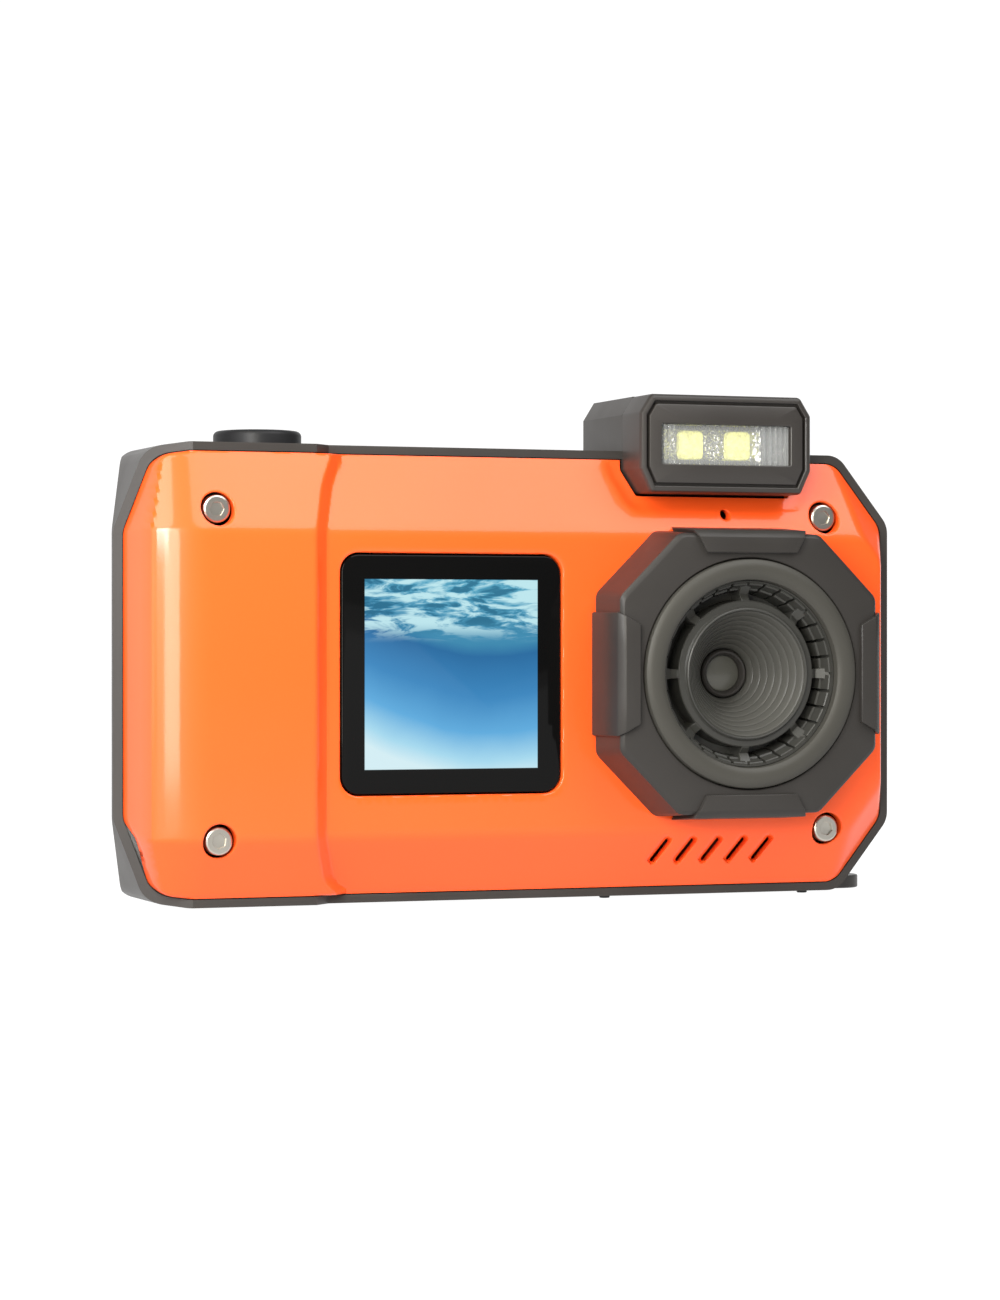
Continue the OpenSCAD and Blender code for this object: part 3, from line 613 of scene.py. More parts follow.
def fade(value: np.ndarray, start: float, end: float) -> np.ndarray:
    """Goes smoothly from 0 at start to 1 at end."""
    t = np.clip((value - start) / (end - start), 0, 1)
    return t * t * (3 - 2 * t)


class Workshop:
    """Makes objects from surfaces and hands them to the frame."""

    def make(self, name: str, skin: Skin, finish: Finish, body: str, slot: str, stands_for: tuple[str, ...] = ()
             ) -> bpy.types.Object:
        """Builds one piece.

        Args:
            name: Name of the piece.
            skin: Its surface in millimetres.
            finish: Its finish.
            body: The body that it moves with.
            slot: The record's material slot; not used.
            stands_for: CAD nodes that it replaces.

        Returns:
            The finished object.
        """
        mesh = bpy.data.meshes.new(name)
        mesh.from_pydata((skin.points * MM).tolist(), [], skin.faces)
        piece = bpy.data.objects.new(name, mesh)
        bpy.context.scene.collection.objects.link(piece)
        self._tidy(mesh)
        return self.dress(piece, finish, body, stands_for)

    def _tidy(self, mesh: bpy.types.Mesh) -> None:
        """Merges doubled points, turns faces outwards and shades smooth but for sharp edges."""
        form = bmesh.new()
        form.from_mesh(mesh)
        bmesh.ops.remove_doubles(form, verts=form.verts, dist=1e-7)
        bmesh.ops.recalc_face_normals(form, faces=form.faces)
        form.to_mesh(mesh)
        form.free()
        mesh.shade_smooth()
        mesh.set_sharp_from_angle(angle=SMOOTH_ANGLE)

    def dress(self, piece: bpy.types.Object, finish: Finish, body: str, stands_for: tuple[str, ...]
              ) -> bpy.types.Object:
        """Gives a piece its finish and body and hides the CAD nodes that it stands for."""
        piece.data.materials.clear()
        piece.data.materials.append(finish.material())
        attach(piece, body)
        if stands_for:
            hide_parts(*stands_for)
        LOG.info("%s: %d faces on %s", piece.name, len(piece.data.polygons), body)
        return piece

    def softened_copy(self, name: str, node: str, finish: Finish, body: str, slot: str, width: float
                      ) -> bpy.types.Object:
        """Copies a CAD node as a piece whose hard edges are rounded by a width in millimetres, if not 0."""
        mesh = frame["nodes"][node].data.copy()
        mesh.name = name
        form = bmesh.new()
        form.from_mesh(mesh)
        bmesh.ops.remove_doubles(form, verts=form.verts, dist=2e-6)
        bmesh.ops.dissolve_limit(form, angle_limit=math.radians(0.6), verts=form.verts, edges=form.edges)
        form.to_mesh(mesh)
        form.free()
        mesh.shade_smooth()
        mesh.set_sharp_from_angle(angle=SMOOTH_ANGLE)
        piece = bpy.data.objects.new(name, mesh)
        bpy.context.scene.collection.objects.link(piece)
        if width:
            bevel = piece.modifiers.new("soft_edges", "BEVEL")
            bevel.width = width * MM
            bevel.segments = 2
            bevel.limit_method = "ANGLE"
            bevel.angle_limit = math.radians(25)
            bevel.use_clamp_overlap = True
            bevel.harden_normals = True
        return self.dress(piece, finish, body, (node,))


def node_box(node: str) -> tuple[np.ndarray, np.ndarray]:
    """Lowest and highest corner of a CAD node, in millimetres."""
    low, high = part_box(node)
    return np.array(low) / MM, np.array(high) / MM


def node_middle(node: str) -> np.ndarray:
    """Middle of a CAD node's box, in millimetres."""
    low, high = node_box(node)
    return (low + high) / 2


def lamp_outline() -> np.ndarray:
    """Sharp corners of the lamp head's outline, as x and z."""
    low, high = node_box("lamp_housing")
    x0, x1, z0, z1 = low[0], high[0], low[2], high[2]
    return np.array([[x0, z0 + 3.4], [x0 + 1.6, z0], [x1 - 1.6, z0], [x1, z0 + 3.4], [x1, z1 - 2.7],
                     [x1 - 1.7, z1], [x0 + 1.7, z1], [x0, z1 - 2.7]])


# ---------------------------------------------------------------- sub-assemblies


@dataclass
class CoverSurface:
    """The front cover's height over the X-Z plane, and the openings that are cut through it."""

    half_w: float
    height: float
    face_y: float
    grip_y: float
    seam_y: float
    upper_z: float = 51.8
    lower_z: float = 9.5
    rim: float = 1.3
    edge_round: float = 0.3
    cut_x: float = 8.1
    cut_z: float = 10.2
    slot_count: int = 5
    slot_pitch: float = 4.0
    slot_lean: float = math.radians(30)

    def outline_corners(self) -> np.ndarray:
        """Sharp corners of the body's outline, drawn in by the rim."""
        w, h = self.half_w, self.height
        middle = h / 2
        corners = np.array([
            [-w, middle - 20], [-w + 3.8, middle - 31.3], [-w + 9, 0], [w - self.cut_x, 0], [w, self.cut_z],
            [w, h - self.cut_z], [w - self.cut_x, h], [-w + 9, h], [-w + 3.8, middle + 31.3], [-w, middle + 20]])
        return shrunk(corners, self.rim)

    def seam(self, x: np.ndarray) -> np.ndarray:
        """Depth of the seam: flat at the right, deeper forward on the grip, slanted back at the left end."""
        grip_seam = self.seam_y - 2.5
        left = -3 + (x + self.half_w + 1) * (grip_seam + 3) / 10.5
        step = np.interp(x, [-31, -28.5], [grip_seam, self.seam_y])
        return np.maximum(left, step)

    def main_face(self, x: np.ndarray, z: np.ndarray) -> np.ndarray:
        """Right part: a flat face with bevels above, below and at the right, and cut corners."""
        y = self.face_y + np.zeros_like(x)
        for bevel in (
            self.face_y + (z - self.upper_z) * 5 / 11,
            self.face_y + (self.lower_z - z) * 5 / 8.1,
        ):
            y = smooth_max(y, bevel, 0.5)
        y = smooth_max(y, self.face_y + (x - (self.half_w - 3.5)) * 5 / 2.2, 0.8)
        y = np.maximum(y, self.face_y + (-33.0 - x) * 3)
        run = math.hypot(self.cut_x, self.cut_z)
        for up in (z, self.height - z):
            past = self.cut_z * (x - self.half_w) + self.cut_x * (up - (self.height - self.cut_z))
            reach = past / run + self.rim
            y = smooth_max(y, self.seam_y + reach * 5 / 5.0, 0.8)
        return y

    def grip_face(self, x: np.ndarray, z: np.ndarray) -> np.ndarray:
        """Raised grip: flat front, sloping top, bottom and step, and a broad round bevel at the left."""
        up = np.clip(z - self.upper_z, 0, None)
        low = np.clip(self.lower_z - z, 0, None)
        front = self.grip_y
        y = front + np.zeros_like(x)
        y = smooth_max(y, front + (z - self.upper_z) * 4.7 / 10.9, 0.45)
        y = smooth_max(y, front + (self.lower_z - z) * 4.7 / 8.2, 0.45)
        bevel = front - 0.4583 * (x + 50.6) + 0.46 * up + 0.57 * low
        y = smooth_max(y, bevel, 1.5)
        side = self.face_y - 5.0 * (x + 55.4) + 1.47 * up + 1.97 * low
        y = smooth_max(y, side, 1.4)
        flare = 0.9 * fade(z, 57.5, 63.2) + 1.6 * fade(-z, -4.2, -0.8)
        step = front + 1.0476 * (x + 32.5 - flare) + 0.1716 * up + 0.228 * low
        return smooth_max(y, step, 0.35)

    def surface(self, x: np.ndarray, z: np.ndarray) -> np.ndarray:
        """Both parts together, with the recess round the lamp head and the scoops of the slots."""
        y = smooth_min(self.main_face(x, z), self.grip_face(x, z), 0.25)
        points = np.stack([x, z], axis=1)
        lamp = distance_to(points, lamp_outline())
        y = y + 0.55 * (1 - fade(lamp, 1.5, 2.9))
        for low, high in self.slots():
            along = (high - low) / np.linalg.norm(high - low)
            side = (points - low) @ np.array([along[1], -along[0]])
            run = (points - (low + high) / 2) @ along
            slope = np.clip(1 + side / 1.25, 0, 1) * (1 - fade(side, 0.0, 0.4))
            scoop = slope * (1 - fade(np.abs(run + 0.15), 1.9, 2.25))
            y = y + 0.95 * scoop
        return y

    def slots(self) -> list[tuple[np.ndarray, np.ndarray]]:
        """Lower and upper end of each slanted speaker slot."""
        lean = np.array([math.sin(self.slot_lean), math.cos(self.slot_lean)]) * 1.55
        return [(np.array([20.7 + i * self.slot_pitch, 6.6]) - lean, np.array([20.7 + i * self.slot_pitch, 6.6]) + lean)
                for i in range(self.slot_count)]


@dataclass
class Opening:
    """A hole in the cover: its loop, its core outline with a radius, and its rounded lip."""

    loop: np.ndarray
    corners: np.ndarray
    radius: float
    lip: float = 0.3

    def distance(self, points: np.ndarray) -> np.ndarray:
        """Signed distance to the loop, negative inside the hole."""
        return distance_to(points, self.corners) - self.radius


@dataclass
class FrontCover:
    """The painted front cover, one moulded shell with the grip."""

    shop: Workshop
    wall: float = 1.5
    cell: float = 0.75
    corner: float = 3.4
    window_corner: float = 2.7
    lens_hole: float = 17.4
    screw_hole: float = 2.35
    sound_hole: float = 0.75
    slot_half: float = 0.36
    form: CoverSurface = field(init=False)

    def __post_init__(self) -> None:
        """Takes the driving sizes from the frame."""
        _, shell_high = node_box("rear_shell")
        cover_low, _ = node_box("front_cover")
        self.form = CoverSurface(half_w=shell_high[0], height=64.0, face_y=-13.0, grip_y=cover_low[1], seam_y=-8.0)

    def openings(self) -> list[Opening]:
        """Every hole: screen, lens, screws, microphone and slots."""
        found = []
        glass_low, glass_high = node_box("front_glass")
        window = box_corners(glass_low[0] - 0.25, glass_low[2] - 0.25, glass_high[0] + 0.25, glass_high[2] + 0.25)
        found.append(self._opening(window, self.window_corner, lip=0.35))
        lens = node_middle("lens_bezel")
        found.append(self._round(lens[0], lens[2], self.lens_hole))
        low, high = node_box("cover_screws")
        for x in (low[0] + 1.95, high[0] - 1.95):
            for z in (low[2] + 1.95, high[2] - 1.95):
                found.append(self._round(x, z, self.screw_hole, lip=0.22))
        found.append(self._round(lens[0] + 0.4, 54.9, self.sound_hole, lip=0.18))
        for low_end, high_end in self.form.slots():
            across = (high_end - low_end)[::-1] * [1, -1] / np.linalg.norm(high_end - low_end) * 0.06
            box = np.array([low_end - across, low_end + across, high_end + across, high_end - across])
            found.append(Opening(self._grown(box, self.slot_half), box, self.slot_half, 0.12))
        return found

    def _opening(self, corners: np.ndarray, radius: float, lip: float) -> Opening:
        """A hole with round corners."""
        return Opening(round_loop(corners, radius, steps=9), shrunk(corners, radius), radius, lip)

    def _grown(self, box: np.ndarray, radius: float) -> np.ndarray:
        """A slim box with a round border."""
        return round_loop(shrunk(box, -radius), radius, steps=7)

    def _round(self, x: float, z: float, radius: float, lip: float = 0.3) -> Opening:
        """A round hole."""
        angle = np.linspace(0, 2 * math.pi, max(24, int(radius * 9)), endpoint=False)
        loop = np.stack([x + radius * np.cos(angle), z + radius * np.sin(angle)], axis=1)
        tiny = 0.01
        return Opening(loop, box_corners(x - tiny, z - tiny, x + tiny, z + tiny), radius, lip)

    def grid(self) -> np.ndarray:
        """Grid lines, closer together where the surface bends."""
        w, h = self.form.half_w, self.form.height
        xs = np.concatenate([
            np.arange(-w, -48.5, 0.38), np.arange(-48.5, -34, self.cell), np.arange(-34, -27.5, 0.3),
            np.arange(-27.5, w - 6, self.cell), np.arange(w - 6, w, 0.4)])
        zs = np.concatenate([
            np.arange(0, 3.2, 0.4), np.arange(3.2, 11.6, 0.42), np.arange(11.6, 49.4, self.cell),
            np.arange(49.4, 54.2, 0.38), np.arange(54.2, h, 0.5)])
        x, z = np.meshgrid(xs, zs)
        coarse = np.stack([x.ravel(), z.ravel()], axis=1)
        x, z = np.meshgrid(np.arange(17.6, 40.0, 0.27), np.arange(3.6, 9.8, 0.27))
        fine = np.stack([x.ravel(), z.ravel()], axis=1)
        low, high = fine.min(axis=0) - 0.2, fine.max(axis=0) + 0.2
        apart = ((coarse < low) | (coarse > high)).any(axis=1)
        return np.concatenate([coarse[apart], fine])

    def skin(self) -> Skin:
        """The cover as a height surface with openings.

        The plan is filled with triangles between the outline, the openings and a grid. Front points take
        the height y(x, z) plus a round lip near every edge; back points lie a wall behind them.
        """
        corners = self.form.outline_corners()
        openings = self.openings()
        lamp = round_loop(shrunk(lamp_outline(), -0.35), 0.3, steps=3)
        lamp_box = shrunk(lamp_outline(), -0.35)
        outline = dense(round_loop(corners, self.corner, steps=9), 0.7)
        loops = [outline, dense(lamp, 0.6)] + [dense(o.loop, 0.55) for o in openings]
        rings = [dense(round_loop(corners, self.corner, inset, 9), 0.7) for inset in (0.1, 0.3)]
        rings += [dense(self._grown_loop(o, r), 0.5) for o in openings for r in (0.1, 0.2, 0.36)]
        grid = self.grid()
        free = np.concatenate([grid] + rings)
        edge = distance_to(free, shrunk(corners, self.corner)) - self.corner
        keep = edge < -0.08
        keep &= distance_to(free, lamp_box) > 0.25
        for o in openings:
            keep &= o.distance(free) > 0.05
        grid_count = len(grid)
        near = np.zeros(len(free), bool)
        near[:grid_count] = edge[:grid_count] > -0.5
        for o in openings:
            near[:grid_count] |= o.distance(free[:grid_count]) < 0.5
        free = free[keep & ~near]
        points = np.concatenate(loops + [free])
        edges, start = [], 0
        for loop in loops:
            ring = np.arange(start, start + len(loop))
            edges += np.stack([ring, np.roll(ring, -1)], axis=1).tolist()
            start += len(loop)
        flat, _, faces, *_ = delaunay_2d_cdt([Vector(p) for p in points.tolist()], edges, [], 0, 1e-5)
        flat = np.array([tuple(v) for v in flat])
        faces = np.array(faces)
        middle = flat[faces].mean(axis=1)
        solid = distance_to(middle, shrunk(corners, self.corner)) < self.corner
        solid &= distance_to(middle, lamp_box) > 0
        for o in openings:
            solid &= o.distance(middle) > 0
        return self._thickened(flat, faces[solid], openings, corners)

    def _grown_loop(self, opening: Opening, reach: float) -> np.ndarray:
        """A loop round an opening at a distance from it."""
        centre = opening.corners.mean(axis=0)
        normals = np.roll(opening.loop, -1, axis=0) - np.roll(opening.loop, 1, axis=0)
        normals = np.stack([normals[:, 1], -normals[:, 0]], axis=1)
        normals /= np.linalg.norm(normals, axis=1)[:, None]
        normals *= np.sign(((opening.loop - centre) * normals).sum(axis=1))[:, None]
        return opening.loop + normals * reach

    def _thickened(self, flat: np.ndarray, faces: np.ndarray, openings: list[Opening], corners: np.ndarray) -> Skin:
        """Lifts the plan to its height, adds the back and the walls of every edge."""
        x, z = flat.T
        y = self.form.surface(x, z)
        seam = self.form.seam(x)
        edge = -(distance_to(flat, shrunk(corners, self.corner)) - self.corner)
        y = y + self._rounding(edge, self.form.edge_round)
        for o in openings:
            y = y + self._rounding(o.distance(flat), o.lip)
        y = np.minimum(y, seam + 0.05)
        back = np.minimum(y + self.wall, seam + 0.55)
        front = np.stack([x, y, z], axis=1)
        rear = np.stack([x, back, z], axis=1)
        count = len(flat)
        directed = faces[:, [0, 1, 1, 2, 2, 0]].reshape(-1, 2)
        sides = np.sort(directed, axis=1)
        _, first, seen = np.unique(sides, axis=0, return_index=True, return_counts=True)
        rim = directed[first[seen == 1]]
        walls = np.stack([rim[:, 1], rim[:, 0], rim[:, 0] + count, rim[:, 1] + count], axis=1)
        everything = faces.tolist() + (faces[:, ::-1] + count).tolist() + walls.tolist()
        return Skin(np.concatenate([front, rear]), everything)

    @staticmethod
    def _rounding(distance: np.ndarray, radius: float) -> np.ndarray:
        """Drop of a quarter-round edge at a distance from it."""
        inner = np.clip(radius - distance, 0, radius)
        return radius - np.sqrt(radius * radius - inner * inner)

    def build(self) -> None:
        """Makes the cover."""
        self.shop.make("cover_moulding", self.skin(), Stock.COVER.value, "root", "cover_paint",
                       ("front_cover",))


@dataclass
class CoverScrews:
    """Four socket-head screws with softened rims and six-sided recesses."""

    shop: Workshop
    radius: float = 1.95
    recess: float = 1.05
    head: float = 1.5

    def head_skin(self, x: float, y: float, z: float, turn: float) -> Skin:
        """One screw head: round outside, with the profile folded in to a six-sided recess and a cone."""
        cols = 72
        angle = np.linspace(0, 2 * math.pi, cols, endpoint=False) + turn
        hexagon = self.recess * math.cos(math.pi / 6) / np.cos((angle - turn) % (math.pi / 3) - math.pi / 6)
        round_rows = [(self.radius, self.head), (self.radius, 0.35), (self.radius - 0.1, 0.12),
                      (self.radius - 0.3, 0.0)]
        rows = round_rows + [(hexagon + 0.05, 0.0), (hexagon, 0.05), (hexagon * 0.98, 0.34), (0.02, 0.36)]
        return loft(around([(r, y + d) for r, d in rows], angle, x, z))

    def build(self) -> None:
        """Makes the four heads where the frame has them."""
        heads = []
        mesh = frame["nodes"]["cover_screws"].data
        spots = np.empty(len(mesh.vertices) * 3)
        mesh.vertices.foreach_get("co", spots)
        spots = spots.reshape(-1, 3) / MM
        low, high = node_box("cover_screws")
        turns = iter((0.15, 0.5, 0.8, 0.3))
        for x in (low[0] + self.radius, high[0] - self.radius):
            for z in (low[2] + self.radius, high[2] - self.radius):
                near = np.hypot(spots[:, 0] - x, spots[:, 2] - z) < 3
                heads.append(self.head_skin(x, spots[near, 1].min(), z, next(turns)))
        self.shop.make("cover_screw_heads", joined(heads), Stock.STEEL.value, "root", "screw_steel",
                       ("cover_screws",))


@dataclass
class LensGroup:
    """Bezel tower with its clips, ring, baffle, grooved cone and front element."""

    shop: Workshop
    tower_half: float = 20.4
    cut: float = 9.0
    tab_half: float = 8.75
    tabs: int = 8
    cells_per_tab: int = 4
    grooves: int = 8

    def axis(self) -> np.ndarray:
        """Where the lens axis meets the front of the ring."""
        middle = node_middle("lens_ring")
        low, _ = node_box("lens_ring")
        return np.array([middle[0], low[1], middle[2]])

    def octagon(self, half: float, angle: np.ndarray) -> np.ndarray:
        """Radius of the rounded octagon in the given directions."""
        near = half - self.cut
        corners = np.array([[-half, -near], [-near, -half], [near, -half], [half, -near],
                            [half, near], [near, half], [-near, half], [-half, near]])
        return reach_of(round_loop(corners, 1.6, steps=9), np.zeros(2), angle)

    def tower(self) -> Skin:
        """Octagonal tower with a chamfered front edge that runs in to a round bore."""
        axis = self.axis()
        half = self.tower_half
        face = axis[1] + 0.9
        angle = np.linspace(0, 2 * math.pi, 288, endpoint=False)
        base = -12.7
        eight = [(half, base), (half, base - 0.5), (half - 0.52, face + 0.55), (half - 0.62, face + 0.42),
                 (half - 0.95, face + 0.06), (half - 1.1, face)]
        rounds = [(17.0, face), (16.62, face + 0.02), (16.5, face + 0.12), (16.45, face + 0.4), (16.45, face + 7.2),
                  (13.5, face + 7.2), (13.5, base)]
        rows = [(self.octagon(h, angle), y) for h, y in eight] + rounds
        return loft(around(rows, angle, axis[0], axis[2]), wrap=True)

    def clip(self, turn: float) -> Skin:
        """One clip tab: a hooked section carried along its length, narrower on its inner side."""
        axis = self.axis()
        tip = axis[1] + 0.2
        section = np.array([
            [17.15, tip + 1.0], [17.15, tip + 0.12], [17.28, tip], [19.3, tip], [19.45, tip + 0.05],
            [20.35, tip + 0.85], [20.42, tip + 1.0], [20.98, -13.0], [20.98, -12.8], [17.15, -12.8]])
        share = np.array([-1, -0.99, -0.97, -0.5, 0, 0.5, 0.97, 0.99, 1.0])
        pinch = np.array([0.12, 0.03, 0, 0, 0, 0, 0, 0.03, 0.12])
        centre = section.mean(axis=0)
        half = self.tab_half - 1.7 * np.clip((20.4 - section[:, 0]) / 3.2, 0, 1)
        rows = np.empty((len(share), len(section), 3))
        shape = section[None] + (centre - section)[None] * pinch[:, None, None] * 0.6
        rows[..., 0] = share[:, None] * half[None]
        rows[..., 1] = shape[..., 1]
        rows[..., 2] = shape[..., 0]
        return loft(rows).placed(turn, np.array([axis[0], 0.0, axis[2]]))

    def ring(self) -> Skin:
        """Round ring with a broad rounded front."""
        outer, inner = 16.3, 13.3
        arc = np.linspace(math.pi, 0, 9)
        crown = [(14.8 + 1.5 * math.cos(a), 0.75 - 0.75 * math.sin(a)) for a in arc]
        profile = [(inner, 7.4)] + [(r, d) for r, d in crown] + [(outer, 7.4)]
        return revolved(profile, self.axis(), 160)

    def cup(self) -> Skin:
        """Cup between ring and cone with a raised collar round the cone."""
        profile = [(13.2, 1.4), (13.2, 8.0), (8.95, 8.0), (8.95, 2.1), (9.05, 1.95), (9.2, 1.9), (9.35, 2.0),
                   (9.4, 2.3), (9.6, 2.5), (10.3, 2.6), (10.45, 2.75), (10.45, 6.2), (10.6, 6.4), (12.2, 6.4),
                   (12.6, 6.1), (12.95, 1.7), (13.0, 1.4)]
        return revolved(profile, self.axis(), 160)

    def web(self, turn: float) -> Skin:
        """One tab that bridges the well between collar and wall."""
        rows = []
        for r, half, top in ((9.9, 0.6, 2.6), (10.5, 0.62, 2.7), (11.3, 0.7, 3.4), (13.1, 0.9, 2.2)):
            rows.append([[-half, top + 0.1, r], [-half + 0.1, top, r], [half - 0.1, top, r], [half, top + 0.1, r],
                         [half, 6.5, r], [-half, 6.5, r]])
        return loft(np.array(rows, float)).placed(turn, self.axis())

    def cell(self, turn: float) -> Skin:
        """One block of the wall, with a sloping face and a small notch of clearance at either side."""
        half = 0.98
        rows = []
        for depth, inner in ((1.75, 12.75), (1.85, 12.62), (3.4, 12.2), (3.5, 11.95), (5.2, 11.6), (6.5, 11.5)):
            rows.append([[-half * inner / 12, depth, inner], [half * inner / 12, depth, inner],
                         [half * 1.08, depth, 13.15], [-half * 1.08, depth, 13.15]])
        return loft(np.array(rows, float)).placed(turn, self.axis())

    def cone(self) -> Skin:
        """Cone with rounded grooves: radius falls with depth, and ridges stand between the grooves."""
        r0, r1, d0, d1 = 8.9, 3.62, 2.0, 10.3
        steps = self.grooves * 8
        share = np.linspace(0, 1, steps + 1)
        ridge = 0.32 * np.abs(np.sin(math.pi * share * self.grooves)) ** 0.6
        radius = r0 + (r1 - r0) * share + ridge * 0.25
        depth = d0 + (d1 - d0) * share - ridge + 0.3
        profile = list(zip(radius, depth)) + [(r1, d1 + 0.9), (r0 + 0.1, d1 + 0.9), (r0 + 0.1, d0)]
        return revolved(profile, self.axis(), 128)

    def retainer(self) -> Skin:
        """Threaded ring with a rounded rim round the front element."""
        profile = [(2.6, 10.9), (2.72, 10.4), (2.95, 10.1), (3.2, 10.05), (3.42, 10.25), (3.5, 10.6), (3.5, 12.0),
                   (2.6, 12.0)]
        return revolved(profile, self.axis(), 96)

    def element(self) -> Skin:
        """Gently domed front element."""
        share = np.linspace(0, 1, 12)
        profile = [(0.02 + 2.54 * s, 10.6 + 0.45 * s * s) for s in share] + [(2.56, 12.0), (0.02, 12.0)]
        return revolved(profile, self.axis(), 96)

    def build(self) -> None:
        """Makes every visible lens part."""
        quarter = math.pi / 2
        clips = [self.clip(i * quarter) for i in range(4)]
        self.shop.make("bezel_tower", joined([self.tower()] + clips), Stock.LENS.value, "root", "lens_plastic",
                       ("lens_bezel",))
        self.shop.make("round_ring", self.ring(), Stock.RING.value, "root", "lens_plastic", ("lens_ring",))
        pitch = 2 * math.pi / self.tabs
        webs = [self.web(i * pitch) for i in range(self.tabs)]
        step = pitch / self.cells_per_tab
        cells = [self.cell((i + 0.5) * step) for i in range(self.tabs * self.cells_per_tab)]
        self.shop.make("baffle_cup", joined([self.cup()] + webs + cells), Stock.CELLS.value, "root",
                       "lens_plastic", ("baffle_ring",))
        self.shop.make("grooved_cone", self.cone(), Stock.CONE.value, "root", "lens_plastic", ("lens_cone",))
        self.shop.make("element_ring", self.retainer(), Stock.LENS.value, "root", "lens_plastic",
                       ("lens_retainer",))
        self.shop.make("front_element", self.element(), Stock.OPTIC.value, "root", "optical_glass",
                       ("front_lens",))


@dataclass
class Screens:
    """Front and rear glass with softened edges."""

    shop: Workshop
    picture_w: float = 25.7
    picture_h: float = 26.5

    def pane(self, node: str, radius: float, front: float, back: float) -> Skin:
        """A pane with a fine round edge on its outer side."""
        low, high = node_box(node)
        corners = box_corners(low[0], low[2], high[0], high[2])
        lean = 1 if back > front else -1
        profile = [(0.0, back), (0.0, front + 0.22 * lean), (0.06, front + 0.07 * lean), (0.22, front)]
        return plate(corners, radius, profile, steps=10)

    def build(self) -> None:
        """Makes both panes."""
        low, high = node_box("front_glass")
        middle = (low + high) / 2
        lit = PictureFinish("front_screen_glass", (0.003, 0.003, 0.003), roughness=0.06, coat=0.04,
                            coat_roughness=0.03, specular=0.08, centre=(middle[0] - 0.05, middle[2]),
                            size=(self.picture_w, self.picture_h))
        self.shop.make("front_pane", self.pane("front_glass", 2.5, low[1], high[1]), lit, "root", "screen_glass",
                       ("front_glass",))
        low, high = node_box("rear_glass")
        self.shop.make("rear_pane", self.pane("rear_glass", 2.0, high[1], low[1]), Stock.GLASS.value, "root",
                       "screen_glass", ("rear_glass",))


